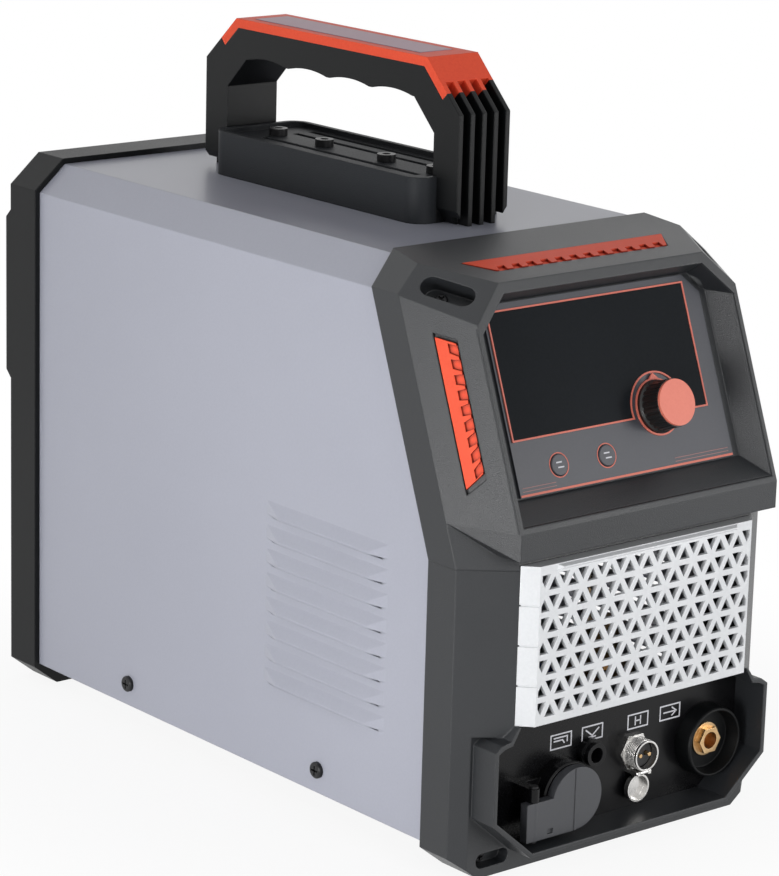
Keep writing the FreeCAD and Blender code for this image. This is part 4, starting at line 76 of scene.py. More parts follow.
def new_group(name, inputs, outputs):
    """An empty shader group with its sockets, its input node and its output node."""
    group = bpy.data.node_groups.new(name, "ShaderNodeTree")
    for label, kind, value in inputs:
        socket = group.interface.new_socket(label, in_out="INPUT", socket_type="NodeSocket" + kind)
        socket.default_value = value
    for label, kind in outputs:
        group.interface.new_socket(label, in_out="OUTPUT", socket_type="NodeSocket" + kind)
    return group, group.nodes.new("NodeGroupInput"), group.nodes.new("NodeGroupOutput")


# %% [markdown]
# ### Relief
#
# Spark-eroded moulds leave a fine leathery grain on plastic, and powder paint dries with a slight orange
# peel. Modelled in the mesh, such a grain would take millions of faces, so it is a bump: broad noise for
# the waves and smooth cells at 2.3 times the scale for the pits. It lies over a Bevel node, which rounds
# the normals at hard edges, so that they catch a thin highlight as real edges do.

# %% The relief group
FINE_SHARE = 2.3
GRAIN_DEPTH = 0.0005


def relief_group():
    """Normal = bump of noise(p) + cells(2.3 p), laid over edges rounded by the given radius."""
    group, source, result = new_group("Relief", [
        ("Grain Scale", "Float", 900.0), ("Grain Height", "Float", 0.02), ("Edge Radius", "Float", 0.0006)],
        [("Normal", "Vector")])
    place = shader_node(group, "TexCoord").outputs["Object"]
    coarse = shader_node(group, "TexNoise", {"Detail": 3.0})
    fine = shader_node(group, "TexVoronoi", feature="SMOOTH_F1")
    finer = shader_node(group, "Math", {1: FINE_SHARE}, operation="MULTIPLY")
    total = shader_node(group, "Math", operation="ADD")
    rounded = shader_node(group, "Bevel", samples=6)
    bump = shader_node(group, "Bump", {"Distance": GRAIN_DEPTH})
    join(group, (place, coarse.inputs["Vector"]), (place, fine.inputs["Vector"]),
         (source.outputs["Grain Scale"], coarse.inputs["Scale"]),
         (source.outputs["Grain Scale"], finer.inputs[0]),
         (finer.outputs[0], fine.inputs["Scale"]),
         (coarse.outputs["Fac"], total.inputs[0]),
         (fine.outputs["Distance"], total.inputs[1]),
         (source.outputs["Edge Radius"], rounded.inputs["Radius"]),
         (total.outputs[0], bump.inputs["Height"]),
         (source.outputs["Grain Height"], bump.inputs["Strength"]),
         (rounded.outputs["Normal"], bump.inputs["Normal"]),
         (bump.outputs["Normal"], result.inputs["Normal"]))
    return group


RELIEF = relief_group()
print(RELIEF.name, "has", len(RELIEF.nodes), "nodes")

# %% [markdown]
# ### Patina
#
# Handled plastic, paint and metal drift slowly between two close shades, with fine specks in between. A
# painted picture could hold that, but it would have to be unwrapped onto each piece. Noise on the
# object's own coordinates needs no unwrapping and is never stretched. The same drift also goes out as a
# number, because a spot that is a shade lighter is often a little duller too, as where it is rubbed.

# %% The patina group
SPECK_SHARE = 0.3


def patina_group():
    """Color = mix(dark, light, drift), with drift = 0.7 slow noise + 0.3 specks, spread to full range."""
    group, source, result = new_group("Patina", [
        ("Dark", "Color", (0.1, 0.1, 0.1, 1)), ("Light", "Color", (0.2, 0.2, 0.2, 1)),
        ("Drift Scale", "Float", 9.0), ("Speck Scale", "Float", 700.0)],
        [("Color", "Color"), ("Drift", "Float")])
    place = shader_node(group, "TexCoord").outputs["Object"]
    drift = shader_node(group, "TexNoise", {"Detail": 4.0})
    speck = shader_node(group, "TexNoise", {"Detail": 1.0})
    blend = shader_node(group, "Mix", {0: SPECK_SHARE}, data_type="FLOAT")
    spread = shader_node(group, "MapRange", {"From Min": 0.3, "From Max": 0.7})
    colour = shader_node(group, "Mix", data_type="RGBA")
    join(group, (place, drift.inputs["Vector"]), (place, speck.inputs["Vector"]),
         (source.outputs["Drift Scale"], drift.inputs["Scale"]),
         (source.outputs["Speck Scale"], speck.inputs["Scale"]),
         (drift.outputs["Fac"], blend.inputs[2]),
         (speck.outputs["Fac"], blend.inputs[3]),
         (blend.outputs[0], spread.inputs["Value"]),
         (spread.outputs["Result"], colour.inputs[0]),
         (source.outputs["Dark"], colour.inputs[6]),
         (source.outputs["Light"], colour.inputs[7]),
         (colour.outputs[2], result.inputs["Color"]),
         (spread.outputs["Result"], result.inputs["Drift"]))
    return group


PATINA = patina_group()
print(PATINA.name, "has", len(PATINA.nodes), "nodes")

# %% [markdown]
# ## A material from the two groups
#
# Every finish of the unit has the same plan: patina gives the colour and, over a small range, the
# roughness, and relief gives the normal. The shader stays in the material, and a value that is the same
# all over, such as metal or coat, is set on the shader itself.
#
# `dress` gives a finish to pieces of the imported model. Only their material slots change.

# %% The material, and dressing pieces with it
def material(name, dark, light, rough, metal=0.0, coat=0.0, specular=0.5, grain=900.0, height=0.02,
             edge=0.0006, drift=9.0, speck=700.0, spread=0.08):
    """A material between two close shades, with roughness = rough + or - spread along their drift."""
    made = bpy.data.materials.new(name)
    made.use_nodes = True
    tree = made.node_tree
    shader = tree.nodes["Principled BSDF"]
    for label, value in (("Metallic", metal), ("Coat Weight", coat), ("Coat Roughness", 0.12),
                         ("Specular IOR Level", specular)):
        shader.inputs[label].default_value = value
    patina = shader_node(tree, "Group", node_tree=PATINA, inputs={
        "Dark": (*dark, 1), "Light": (*light, 1), "Drift Scale": drift, "Speck Scale": speck})
    relief = shader_node(tree, "Group", node_tree=RELIEF, inputs={
        "Grain Scale": grain, "Grain Height": height, "Edge Radius": edge})
    dullness = shader_node(tree, "MapRange", {"To Min": max(rough - spread, 0.02),
                                              "To Max": min(rough + spread, 1)})
    join(tree, (patina.outputs["Color"], shader.inputs["Base Color"]),
         (patina.outputs["Drift"], dullness.inputs["Value"]),
         (dullness.outputs["Result"], shader.inputs["Roughness"]),
         (relief.outputs["Normal"], shader.inputs["Normal"]))
    return made


undressed = set(nodes)


def dress(finish, *names):
    """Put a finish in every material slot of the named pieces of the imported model."""
    for name in names:
        piece = nodes[name]
        if not piece.data.materials:
            piece.data.materials.append(finish)
        for slot in piece.material_slots:
            slot.material = finish
        undressed.discard(name)
    print(f"{finish.name}: {', '.join(names)}")


# %% [markdown]
# ## Painted steel
#
# The cover is sheet steel with a satin powder paint of a cool, slightly violet grey. A metal shader would
# be wrong, because the paint hides the steel, so it is a dielectric with a thin coat over it. Colours
# here and below are linear light values, judged against the object under its soft light.

# %% Cover paint
cover_paint = material("cover_paint", (0.38, 0.39, 0.455), (0.42, 0.43, 0.495), 0.36, coat=0.10,
                       grain=1500, height=0.05, edge=0.0012, drift=4, spread=0.05)
dress(cover_paint, "cover")

# %% [markdown]
# ## Dark mouldings
#
# The front and rear mouldings, the handle and its tray, the connector bay and the hinged cover of the
# work-lead socket are all black plastic, yet no two look alike: the hood and frame have an eroded
# grain that scatters light and reads as dark grey, the handle is deep black, and the bay is smooth. One
# black for all would lose that, so each gets its own shades, gloss and grain. The low specular values
# keep the pale studio from greying the deep blacks.

# %% Grained plastics
GRAINED = dict(grain=1300, drift=6, speck=1500)
moulding = material("moulding", (0.016, 0.0175, 0.020), (0.023, 0.025, 0.028), 0.40, height=0.22,
                    edge=0.0011, **GRAINED)
dress(moulding, "front_bezel", "front_hood", "panel_tray")
tray_plastic = material("tray_plastic", (0.015, 0.0165, 0.019), (0.021, 0.0235, 0.027), 0.52, specular=0.2,
                        height=0.2, edge=0.0011, **GRAINED)
dress(tray_plastic, "handle_tray")
handle_plastic = material("handle_plastic", (0.0025, 0.003, 0.0035), (0.0045, 0.005, 0.0055), 0.42,
                          specular=0.2, height=0.12, edge=0.0010, **GRAINED)
dress(handle_plastic, "handle_frame", "rear_frame", "torch_shroud")

# %% Smooth plastics
moulding_gloss = material("moulding_gloss", (0.003, 0.003, 0.0035), (0.005, 0.005, 0.006), 0.3, coat=0.05,
                          specular=0.2, edge=0.0004)
dress(moulding_gloss, "bay_plate", "pilot_connector", "socket_body", "cable_gland", "power_switch_body")
cover_flap = material("cover_flap", (0.050, 0.052, 0.058), (0.064, 0.066, 0.073), 0.5, grain=1300,
                      height=0.12, edge=0.0007, drift=12)
dress(cover_flap, "socket_cover")
knob_black = material("knob_black", (0.006, 0.006, 0.006), (0.011, 0.011, 0.011), 0.34, grain=1500,
                      height=0.05, edge=0.0004)
dress(knob_black, "knob_body")
case_black = material("case_black", (0.01, 0.01, 0.011), (0.022, 0.022, 0.024), 0.5, height=0.1)
dress(case_black, "encoder", "capacitor_bank", "rectifier", "trigger_insulator", "fan_frame", "fan_rotor")

# %% [markdown]
# ## The silver grille
#
# The grille is plastic sprayed in a bright silver. Full metal would mirror the dark inside of the unit,
# so the paint is mostly a pale dielectric with a little metal in it.

# %% Silver paint
grille_silver = material("grille_silver", (0.70, 0.715, 0.73), (0.79, 0.80, 0.815), 0.34, metal=0.15,
                         grain=1200, height=0.04, edge=0.0005)
dress(grille_silver, "front_grille")

# %% [markdown]
# ## The control panel
#
# A matt film covers the panel and its two buttons, and the display lies behind a glossy dark window. The
# window is opaque here, because the display is off and nothing shows through, so no glass is needed. A
# very low specular value keeps the white studio from turning it milky. Three inks serve for the lines:
# orange, a pale one for the symbols, and a dull one for the fine rules.

# %% Film, window and inks
overlay_film = material("overlay_film", (0.036, 0.038, 0.048), (0.052, 0.054, 0.067), 0.42, grain=2500,
                        height=0.05, edge=0.0003, drift=5)
dress(overlay_film, "overlay_panel", "button_left", "button_right")
window_gloss = material("window_gloss", (0.012, 0.014, 0.016), (0.016, 0.018, 0.021), 0.16, specular=0.05,
                        grain=300, height=0.002, edge=0.0003, spread=0.02)
dress(window_gloss, "display_window")
INK = dict(height=0.0, edge=0.0001)
orange_print = material("orange_print", (0.62, 0.13, 0.09), (0.74, 0.20, 0.14), 0.5, **INK)
dress(orange_print, "panel_outline")
pale_print = material("pale_print", (0.62, 0.62, 0.66), (0.74, 0.74, 0.78), 0.55, **INK)
dull_print = material("dull_print", (0.30, 0.14, 0.13), (0.40, 0.20, 0.19), 0.55, **INK)

# %% [markdown]
# ## Orange parts
#
# The handle's cap, the three toothed strips and the knob's cap are orange plastic, the knob's a softer
# and paler one. Between the teeth of the strips the orange looks much deeper, because little light gets in
# and what does has bounced off orange. A render with few bounces loses that shade, so it is painted: an
# Ambient Occlusion node measures how shut in a point is and turns the colour there to a dark orange.

# %% Painted shade in hollows
def paint_shade_in_hollows(made, shade, reach):
    """Painted shade: colour = mix(shade, colour, openness), where openness runs from 0 to 1 as occlusion
    clears.
    """
    tree = made.node_tree
    base = tree.nodes["Principled BSDF"].inputs["Base Color"]
    colour = base.links[0].from_socket
    shut = shader_node(tree, "AmbientOcclusion", {"Distance": reach}, samples=6)
    openness = shader_node(tree, "MapRange", {"From Min": 0.45, "From Max": 0.9})
    mixed = shader_node(tree, "Mix", {6: (*shade, 1)}, data_type="RGBA")
    join(tree, (shut.outputs["AO"], openness.inputs["Value"]), (openness.outputs["Result"], mixed.inputs[0]),
         (colour, mixed.inputs[7]), (mixed.outputs[2], base))


# %% Orange plastics and the pale inset
orange = material("orange", (0.76, 0.066, 0.028), (0.86, 0.10, 0.042), 0.46, specular=0.25, height=0.05,
                  edge=0.0005)
dress(orange, "handle_cap")
strip_orange = material("strip_orange", (0.78, 0.075, 0.030), (0.88, 0.11, 0.046), 0.5, specular=0.2,
                        height=0.05, edge=0.0004)
# Painted shade: the notches between the teeth turn a dark orange where the surface is shut in.
paint_shade_in_hollows(strip_orange, (0.20, 0.012, 0.006), 0.0022)
dress(strip_orange, "accent_left", "accent_right", "accent_top")
knob_orange = material("knob_orange", (0.76, 0.18, 0.12), (0.84, 0.24, 0.165), 0.42, height=0.04,
                       edge=0.0005)
dress(knob_orange, "knob_cap")
lilac = material("lilac", (0.40, 0.26, 0.31), (0.50, 0.34, 0.40), 0.45, grain=1300, height=0.08, edge=0.0005)
dress(lilac, "handle_inset")

# %% [markdown]
# ## Bare metals
#
# The torch connector's hexagon, the contacts and the air fittings are turned brass, the trigger socket
# and its cap are bright chrome, and the base, the rear panel and the fan guard are zinc-plated steel.
# A metal's look comes mostly from what it mirrors, so what matters is how sharp the mirror is. A quick
# drift of the roughness shows as handling. The crystals of zinc are larger, so its drift is slower. The
# screws and the cover's hinge pin are blackened steel.

# %% Brass, chrome, zinc and black steel
brass = material("brass", (0.56, 0.36, 0.17), (0.78, 0.55, 0.31), 0.33, metal=1.0, grain=500, height=0.03,
                 edge=0.0003, drift=120, spread=0.1)
dress(brass, "torch_hex", "socket_contact", "trigger_pins", "earth_stud", "air_inlet", "solenoid_valve",
      "board_standoffs")
chrome = material("chrome", (0.60, 0.59, 0.58), (0.76, 0.75, 0.73), 0.24, metal=1.0, grain=400, height=0.01,
                  edge=0.0003, drift=90, spread=0.06)
dress(chrome, "trigger_socket", "dust_cap", "dust_cap_pin", "board_posts")
zinc = material("zinc", (0.42, 0.43, 0.44), (0.58, 0.59, 0.60), 0.42, metal=1.0, grain=250, height=0.03,
                edge=0.0005, drift=35, spread=0.12)
dress(zinc, "base_pan", "rear_panel", "fan_guard")
screw_black = material("screw_black", (0.010, 0.010, 0.011), (0.024, 0.024, 0.026), 0.36, metal=0.5,
                       grain=1500, height=0.04, edge=0.0004, drift=200)
dress(screw_black, "socket_hinge_pin", "cover_screws", "corner_screws", "rear_screws", "handle_bolts")

# %% [markdown]
# ## Inside and at the rear
#
# The grille and the fan guard let a little of the inside show: green boards, an aluminium heat sink,
# dark ferrite with copper windings and a blue air hose. They get plain but true finishes. The rocker at
# the rear is a bright red plastic, shiny from being pressed.

# %% Electronics and the rocker
board_green = material("board_green", (0.008, 0.07, 0.03), (0.015, 0.12, 0.05), 0.4, coat=0.3, grain=400,
                       height=0.05, drift=80, speck=1200)
dress(board_green, "control_board", "main_board")
aluminium = material("aluminium", (0.60, 0.61, 0.62), (0.74, 0.75, 0.76), 0.36, metal=1.0, grain=300,
                     height=0.03, edge=0.0003, drift=60, spread=0.1)
dress(aluminium, "heat_sink")
ferrite = material("ferrite", (0.02, 0.02, 0.022), (0.05, 0.05, 0.052), 0.6, grain=700, height=0.2, drift=60)
dress(ferrite, "transformer_core")
copper = material("copper", (0.20, 0.055, 0.02), (0.34, 0.11, 0.04), 0.36, metal=0.8, grain=600, height=0.3,
                  drift=150, spread=0.1)
dress(copper, "transformer_winding", "output_inductor")
hose_blue = material("hose_blue", (0.012, 0.03, 0.16), (0.02, 0.05, 0.22), 0.45, height=0.05)
dress(hose_blue, "air_pipe")
rocker_red = material("rocker_red", (0.42, 0.012, 0.010), (0.55, 0.022, 0.016), 0.25, coat=0.3, grain=700,
                      edge=0.0008)
dress(rocker_red, "power_switch_rocker")
print("pieces without a finish:", sorted(undressed) or "none")

# %% [markdown]
# ## Planes to draw on
#
# On the real unit the fine marks are printed on flat faces: the panel's film, which leans back by 21
# degrees, the upright floor of the connector bay, and the two halves of the power switch's rocker. A mark
# could be given by its points in the model's own axes, but on a leaning face each of them would need its
# own sines and cosines. So a face is described once, as an origin with the directions across, up and
# out, and every mark on it is drawn flat, in millimetres.

# %% A plane with its own axes
MM = 0.001


class Plane:
    """A flat face: point(u, v, w) = origin + u across + v up + w out, with u, v and w in millimetres."""

    def __init__(self, origin, across, up):
        self.origin = np.array(origin, float) * MM
        self.across = np.array(across, float)
        self.up = np.array(up, float)
        self.out = np.cross(self.across, self.up)

    def points(self, uvw):
        """Rows of u, v and w turned into points of the model."""
        u, v, w = np.hsplit(np.asarray(uvw, float) * MM, 3)
        return self.origin + u * self.across + v * self.up + w * self.out


# %% The panel and the floor of the bay
CASE_FRONT = -208
PANEL_FOOT = 181.5
PANEL_LEAN = math.radians(21)
BAY_DEPTH = 25.5

panel = Plane((0, CASE_FRONT, PANEL_FOOT), (1, 0, 0), (0, math.sin(PANEL_LEAN), math.cos(PANEL_LEAN)))
bay = Plane((0, CASE_FRONT + BAY_DEPTH, 0), (1, 0, 0), (0, 0, 1))
print("the panel faces", panel.out.round(3), "and the bay", bay.out)

# %% [markdown]
# ## Surfaces from grids of points
#
# A printed line and a screw thread have the same build: a small section carried along a path. Blender
# could bevel a curve, but then the section's corners and the mitres at sharp bends are its own choice.
# Here each piece is a grid of points worked out by a formula, a row for every step along the path and a
# column for every corner of the section. Neighbouring points join up into four-sided faces.

# %% A mesh that rides on a body
def mesh_piece(name, points, faces, body, finish, smooth=True):
    """An object from points and faces. It rides on a body, so it moves with that body's joint."""
    mesh = bpy.data.meshes.new(name)
    mesh.from_pydata(points.tolist(), [], faces)
    mesh.validate()
    mesh.polygons.foreach_set("use_smooth", [smooth] * len(mesh.polygons))
    mesh.materials.append(finish)
    piece = bpy.data.objects.new(name, mesh)
    bpy.context.scene.collection.objects.link(piece)
    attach(piece, body)
    print(f"{name}: {len(mesh.vertices)} points, {len(mesh.polygons)} faces, rides on {body}")
    return piece


# %% Faces over a grid, and the ends of a tube
def grid_faces(rows, columns, ring=False):
    """Faces (i, j), (i + 1, j), (i + 1, j + 1), (i, j + 1) of a tube, which point outwards.

    The columns always wrap round the section. The rows wrap too where the path is a ring.
    """
    i, j = (index.ravel() for index in np.indices((rows if ring else rows - 1, columns)))
    below, beside = (i + 1) % rows, (j + 1) % columns
    return np.c_[i * columns + j, below * columns + j, below * columns + beside, i * columns + beside]


def end_faces(rows, columns):
    """The first section as one face and the last one turned round, so that both point outwards."""
    first = np.arange(columns)
    return [first.tolist(), (first[::-1] + (rows - 1) * columns).tolist()]


print(len(grid_faces(5, 4)), "faces round a tube of 5 rows and 4 columns, and", len(end_faces(5, 4)), "ends")

# %% [markdown]
# ## Printed lines
#
# Screen print lies about a tenth of a millimetre proud of its film. It could be painted by a material
# that knows where the line runs, but the edge would then be only as sharp as the baked picture. So each
# line is a very thin band of its own, with a rectangular section. At a bend the section's width grows, so
# that the line stays equally wide on both sides of the corner, as a mitred picture frame does.

# %% Both edges of a line of even width
SHARPEST = 0.35


def stroke(path, width, ring):
    """The left and right edges of a flat line along a path p(t).

    The edges are p(t) + n(t) width / 2 and p(t) - n(t) width / 2. The normal n(t) halves the bend there
    and is lengthened by 1 / cos(half the bend), up to a limit at very sharp bends.
    """
    path = np.asarray(path, float)
    if ring:
        before, after = np.roll(path, 1, 0), np.roll(path, -1, 0)
    else:
        before = np.vstack([2 * path[:1] - path[1:2], path[:-1]])
        after = np.vstack([path[1:], 2 * path[-1:] - path[-2:-1]])
    arriving, leaving = path - before, after - path
    arriving /= np.linalg.norm(arriving, axis=1)[:, None]
    leaving /= np.linalg.norm(leaving, axis=1)[:, None]
    along = arriving + leaving
    along /= np.linalg.norm(along, axis=1)[:, None]
    normal = np.c_[-along[:, 1], along[:, 0]]
    half_bend = np.clip(np.sum(along * arriving, axis=1), SHARPEST, 1)
    offset = normal * (width / 2 / half_bend)[:, None]
    return path + offset, path - offset


# %% Bands of print on a plane
def print_strokes(name, plane, strokes, low, high, body, ink):
    """One piece from several lines, each given as its path, its width and whether it is a ring.

    A line's section runs from (left, high) over (left, low) and (right, low) to (right, high), where
    low and high are heights over the plane.
    """
    points, faces, start = [], [], 0
    for path, width, ring in strokes:
        left, right = stroke(path, width, ring)
        count = len(left)
        section = ((left, high), (left, low), (right, low), (right, high))
        rows = np.stack([np.c_[edge, np.full(count, level)] for edge, level in section], axis=1)
        points.append(plane.points(rows.reshape(-1, 3)))
        faces += (start + grid_faces(count, 4, ring)).tolist()
        if not ring:
            faces += (start + np.array(end_faces(count, 4))).tolist()
        start += 4 * count
    return mesh_piece(name, np.vstack(points), faces, body, ink, smooth=False)


def circle(u, v, radius, count=48):
    """Points round a circle: (u + r cos a, v + r sin a) for a from 0 to 2 pi."""
    angle = np.linspace(0, 2 * np.pi, count, endpoint=False)
    return np.c_[u + radius * np.cos(angle), v + radius * np.sin(angle)]


edge_left, edge_right = stroke([(0, 0), (10, 0), (10, 10)], 1, False)
mitre = float(np.linalg.norm(edge_left[1] - edge_right[1]))
print("a line of width 1 is", round(mitre, 3), "wide across a right-angled corner")

# %% [markdown]
# ## Prints on the control panel
#
# A red line runs along the foot of the film, and a pair of fine rules lies over each of its ends. A ring
# lies round each button, and each button has a plain mark of two bars. The ring is printed on the film,
# so it rides on the case, but the mark is on the button and moves in with it when it is pressed.

# %% Lines at the foot of the film
FILM = -12.0
PRINT = 0.1
RULE = 0.08
rules = [([(start, v), (end, v)], 0.35, False) for start, end in ((-70, -48), (32, 69)) for v in (21.6, 19.9)]
print_strokes("panel_rules", panel, rules, FILM, FILM + RULE, "case", dull_print)
red_line = [([(-71.6, 17.9), (71.6, 17.9)], 1.1, False)]
print_strokes("panel_red_line", panel, red_line, FILM, FILM + PRINT, "case", orange_print)

# %% Rings and marks of the buttons
BUTTONS = {"left_button": -44.0, "right_button": -12.4}
BUTTON_LEVEL = 29.5
BUTTON_FACE = FILM + 0.9
SINK = 0.02
BAR = 0.7

rings = [(circle(u, BUTTON_LEVEL, 6.0), 0.55, True) for u in BUTTONS.values()]
print_strokes("button_rings", panel, rings, FILM, FILM + PRINT, "case", orange_print)
for body, u in BUTTONS.items():
    upper, lower = BUTTON_LEVEL + 1.3, BUTTON_LEVEL - 1.2
    bars = [([(u - 2.3, upper), (u + 1.4, upper)], BAR, False),
            ([(u - 1.6, lower), (u + 2.3, lower)], BAR, False)]
    print_strokes(body + "_mark", panel, bars, BUTTON_FACE - SINK, BUTTON_FACE + PRINT, body, pale_print)

# %% [markdown]
# ## Symbols over the connectors
#
# A small framed symbol over each connector says what belongs there. Symbols of this kind are simple
# pictures made of strokes, so each is drawn anew from a few straight lines of one width: a lead, a torch,
# a switch and a plug.

# %% Four framed symbols
SIGN_LEVEL = 59.3
SIGN_WIDE, SIGN_TALL = 6.9, 3.7
SIGN_LINE = 0.75
LEAD = [[(-5.0, 1.9), (4.2, 1.9), (4.2, -1.2)], [(-5.0, 0.3), (1.0, 0.3), (2.4, -1.6)]]
TORCH = [[(-4.6, 2.0), (0, -1.6), (4.6, 2.0)], [(-2.6, -2.3), (2.6, -2.3)]]
SWITCH = [[(-1.8, -2.4), (-1.8, 2.4)], [(1.8, -2.4), (1.8, 2.4)], [(-1.8, 0), (1.8, 0)]]
PLUG = [[(-4.6, 0), (4.0, 0)], [(1.2, 2.3), (4.4, 0), (1.2, -2.3)]]
FRAME = [(-SIGN_WIDE, -SIGN_TALL), (SIGN_WIDE, -SIGN_TALL), (SIGN_WIDE, SIGN_TALL), (-SIGN_WIDE, SIGN_TALL)]

signs = []
for u, symbol in ((-31.6, LEAD), (-10.3, TORCH), (21.3, SWITCH), (43.9, PLUG)):
    middle = np.array((u, SIGN_LEVEL))
    signs.append((middle + FRAME, SIGN_LINE, True))
    signs += [(middle + line, SIGN_LINE, False) for line in symbol]
print_strokes("bay_signs", bay, signs, 0.0, PRINT, "case", pale_print)

# %% [markdown]
# ## A screw thread
#
# The round trigger socket is 16 mm across and has a fine thread that its plug's collar screws on. A stack
# of rings would look alike at first, but light runs along a real thread in one slanting line, so this is
# a true helix. Its section is a triangle with its foot below the socket's skin. The ridge shrinks over
# half a turn at each end, as a thread cut by a tool does where the tool enters and leaves. The pitch is
# 1 mm, the ridge stands 0.28 mm proud, and the thread ends short of the socket's mouth.

# %% A ridge along a helix
STEPS_PER_TURN = 36
RIDGE = ((-0.5, -0.15), (0.0, 1.0), (0.5, -0.15))
RIDGE_SHARE = 0.9
SMALLEST = 0.02


def helix_thread(name, plane, centre, radius, low, high, pitch, height, body, finish):
    """A triangular ridge along the helix (r cos 2 pi t, r sin 2 pi t, low + pitch t).

    The corners of the section lie across the ridge by a share of the pitch, and out by a share of the
    height. Both shrink with 2 min(t, turns - t), so the ridge fades over the first and last half turn.
    """
    turns = (high - low) / pitch
    steps = int(turns * STEPS_PER_TURN)
    t = np.linspace(0, turns, steps)
    fade = np.clip(np.minimum(t, turns - t) * 2, SMALLEST, 1)
    angle = 2 * np.pi * t
    rows = []
    for across, out in RIDGE:
        reach = radius + height * out * (fade if out > 0 else 1)
        level = low + pitch * t + across * pitch * RIDGE_SHARE * fade
        rows.append(np.c_[centre[0] + reach * np.cos(angle), centre[1] + reach * np.sin(angle), level])
    points = plane.points(np.stack(rows, axis=1).reshape(-1, 3))
    faces = grid_faces(steps, len(RIDGE)).tolist() + end_faces(steps, len(RIDGE))
    return mesh_piece(name, points, faces, body, finish)


# %% The thread
helix_thread("trigger_thread", bay, centre=(18.4, 43.8), radius=8.0, low=2.8, high=10.2, pitch=1.0,
             height=0.28, body="case", finish=chrome)

# %% [markdown]
# ## Marks on the power switch
#
# The rocker carries the usual bar for on and ring for off, one on each half. It rests tilted by 12
# degrees, and each half rises from the middle by 2.1 mm in 14 mm. A mark lies on the slope of its own
# half and rides on the rocker, so it tips with it.

# %% A bar and a ring on the two halves
REST_TILT = math.radians(12)
HALF_SLOPE = math.atan(2.1 / 14)
FACE_OUT = 3.4
ROCKER_PIN = (-52, 187.5, 232)

rocker = Plane(ROCKER_PIN, (-1, 0, 0), (0, -math.sin(REST_TILT), math.cos(REST_TILT)))
for name, side, path, ring in (("rocker_on", 1, [(0, 6.0), (0, 11.0)], False),
                               ("rocker_off", -1, circle(0, -8.5, 2.3, 32), True)):
    tip = side * HALF_SLOPE
    half = Plane(ROCKER_PIN + rocker.out * FACE_OUT, rocker.across,
                 rocker.up * math.cos(tip) + rocker.out * math.sin(tip))
    print_strokes(name, half, [(path, 0.8, ring)], -SINK, 0.12, "switch_rocker", pale_print)

# %% [markdown]
# ## Camera
#
# The camera stands where the photograph was taken from. Its place, direction and lens were worked out
# from the straight edges and mirrored corners of the unit. It could be aimed by a tracking constraint,
# but that would lose its slight roll, so its directions right, up and back are written as the columns of
# its matrix.

# %% The photograph's camera
EYE = (-1.14885, -1.3743, 0.64317)
EYE_RIGHT = (0.77025, -0.637185, 0.026665)
EYE_UP = (0.142715, 0.212968, 0.96658)
EYE_BACK = (-0.621569, -0.740702, 0.254975)

scene = bpy.context.scene
camera_data = bpy.data.cameras.new("camera")
camera_data.sensor_width = 36
camera_data.lens = 142.08
camera_data.clip_end = 50
camera = bpy.data.objects.new("camera", camera_data)
scene.collection.objects.link(camera)
scene.camera = camera
turn = Matrix((EYE_RIGHT, EYE_UP, EYE_BACK)).transposed().to_4x4()
turn.translation = EYE
camera.matrix_world = turn
print("the camera is", round(Vector(EYE).length, 3), "m from the origin")

# %% [markdown]
# ## White background
#
# The unit stands on a white sheet in a white studio. Bright light all round would give that white, but
# it would also wash out the black plastics. Instead, the sheet and the world are white only for rays
# that come straight from the camera, off a glossy surface or through glass. So metal mirrors a white
# studio, and the light that falls on the unit stays at a plain level.
#
# The floor is a large pale sheet. Near the unit a part of its true shading is kept, with the shadow. It
# fades into pure white between 0.12 m and 0.42 m from the middle of the unit.

# %% Rays that may see white
def seen_only(tree):
    """1 for rays from the camera, off gloss and through glass, else 0: the largest of three flags."""
    path = shader_node(tree, "LightPath")
    first = shader_node(tree, "Math", operation="MAXIMUM")
    second = shader_node(tree, "Math", operation="MAXIMUM")
    join(tree, (path.outputs["Is Camera Ray"], first.inputs[0]),
         (path.outputs["Is Glossy Ray"], first.inputs[1]),
         (first.outputs[0], second.inputs[0]),
         (path.outputs["Is Transmission Ray"], second.inputs[1]))
    return second.outputs[0]


# %% The floor
FLOOR_HALF = 6
FADE_FROM, FADE_TO = 0.12, 0.42
LEAST_WHITE = 0.88

floor_paint = bpy.data.materials.new("floor_paint")
floor_paint.use_nodes = True
tree = floor_paint.node_tree
sheet = tree.nodes["Principled BSDF"]
sheet.inputs["Base Color"].default_value = (0.95, 0.95, 0.95, 1)
sheet.inputs["Roughness"].default_value = 0.9
white = shader_node(tree, "Emission")
away = shader_node(tree, "VectorMath", operation="LENGTH")
fade = shader_node(tree, "MapRange", interpolation_type="SMOOTHSTEP", inputs={
    "From Min": FADE_FROM, "From Max": FADE_TO, "To Min": LEAST_WHITE})
both = shader_node(tree, "Math", operation="MULTIPLY")
mixed = shader_node(tree, "MixShader")
join(tree, (shader_node(tree, "TexCoord").outputs["Object"], away.inputs[0]),
     (away.outputs["Value"], fade.inputs["Value"]), (fade.outputs["Result"], both.inputs[0]),
     (seen_only(tree), both.inputs[1]), (both.outputs[0], mixed.inputs["Fac"]),
     (sheet.outputs[0], mixed.inputs[1]), (white.outputs[0], mixed.inputs[2]),
     (mixed.outputs[0], tree.nodes["Material Output"].inputs["Surface"]))

corners = [(x * FLOOR_HALF, y * FLOOR_HALF, 0) for x, y in ((-1, -1), (1, -1), (1, 1), (-1, 1))]
floor_mesh = bpy.data.meshes.new("floor")
floor_mesh.from_pydata(corners, [], [(0, 1, 2, 3)])
floor_mesh.materials.append(floor_paint)
floor = bpy.data.objects.new("floor", floor_mesh)
scene.collection.objects.link(floor)
print("the floor is", 2 * FLOOR_HALF, "m wide")

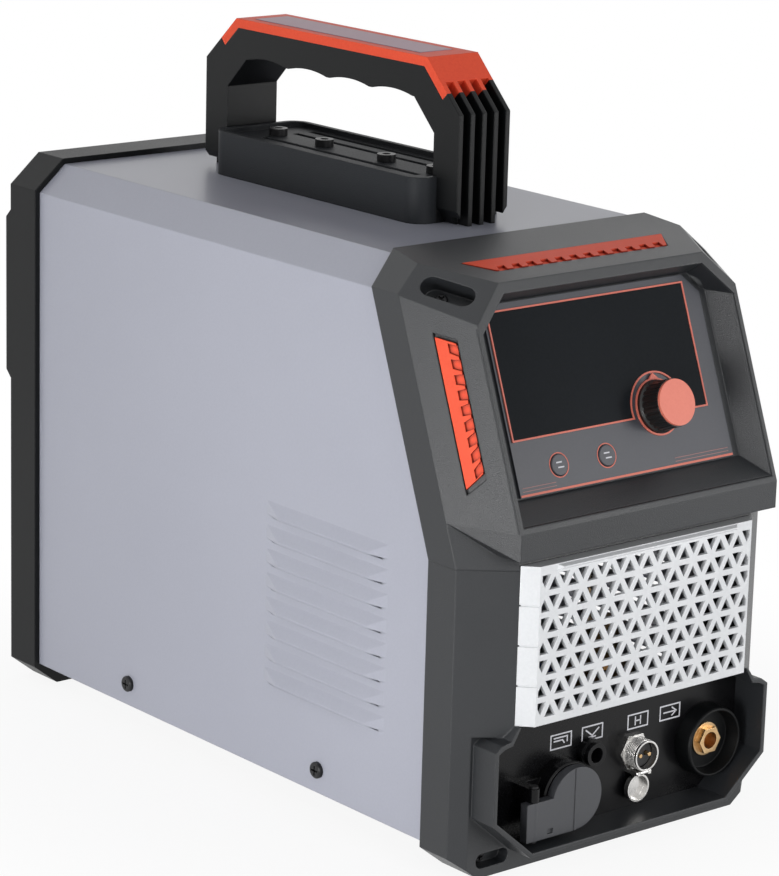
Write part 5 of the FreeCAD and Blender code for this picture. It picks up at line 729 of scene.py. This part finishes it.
# %% The world
world = bpy.data.worlds.new("studio")
scene.world = world
world.use_nodes = True
tree = world.node_tree
tree.nodes.clear()
surface = shader_node(tree, "OutputWorld")
backdrop = shader_node(tree, "Background", {"Color": (1, 1, 1, 1), "Strength": 1.0})
fill = shader_node(tree, "Background", {"Color": (0.96, 0.97, 1.0, 1), "Strength": 0.26})
choice = shader_node(tree, "MixShader")
join(tree, (seen_only(tree), choice.inputs["Fac"]), (fill.outputs[0], choice.inputs[1]),
     (backdrop.outputs[0], choice.inputs[2]), (choice.outputs[0], surface.inputs["Surface"]))
print("the world lights the unit at", round(fill.inputs["Strength"].default_value, 2))

# %% [markdown]
# ## Lamps
#
# Four soft boxes shape the unit. The key stands low at its left, so the cover's side is bright beside the
# dark mouldings and grows lighter towards the floor. One at the front lights the panel and the grille,
# one at the right the far walls of the recess and the bay, and a faint one from above and behind lifts
# the top of the cover. Large lamps give soft edges to shadows, as in a catalogue picture.

# %% Four soft boxes
def area_light(name, place, target, wide, tall, power):
    """A soft rectangular lamp aimed at a point, with its size in metres and its power in watts."""
    data = bpy.data.lights.new(name, "AREA")
    data.shape = "RECTANGLE"
    data.size = wide
    data.size_y = tall
    data.energy = power
    light = bpy.data.objects.new(name, data)
    light.location = place
    light.rotation_euler = (Vector(target) - Vector(place)).to_track_quat("-Z", "Y").to_euler()
    scene.collection.objects.link(light)
    print(f"{name}: {wide} by {tall} m, {power} W")


area_light("key", (-1.0, -0.38, 0.12), (0, -0.14, 0.11), wide=0.5, tall=0.3, power=6.2)
area_light("front", (-0.2, -1.7, 0.7), (0, -0.14, 0.14), wide=0.8, tall=0.6, power=7)
area_light("right", (1.05, -1.35, 0.36), (0, -0.17, 0.22), wide=0.5, tall=0.4, power=6)
area_light("above", (-0.9, 0.5, 1.3), (0, 0.0, 0.2), wide=0.6, tall=0.6, power=2)

# %% [markdown]
# ## Colours as written
#
# The Standard view shows a colour about as its values say. A filmic view would soften the whites and
# change the shades that were judged above.

# %% View
scene.view_settings.view_transform = "Standard"
print("view:", scene.view_settings.view_transform)
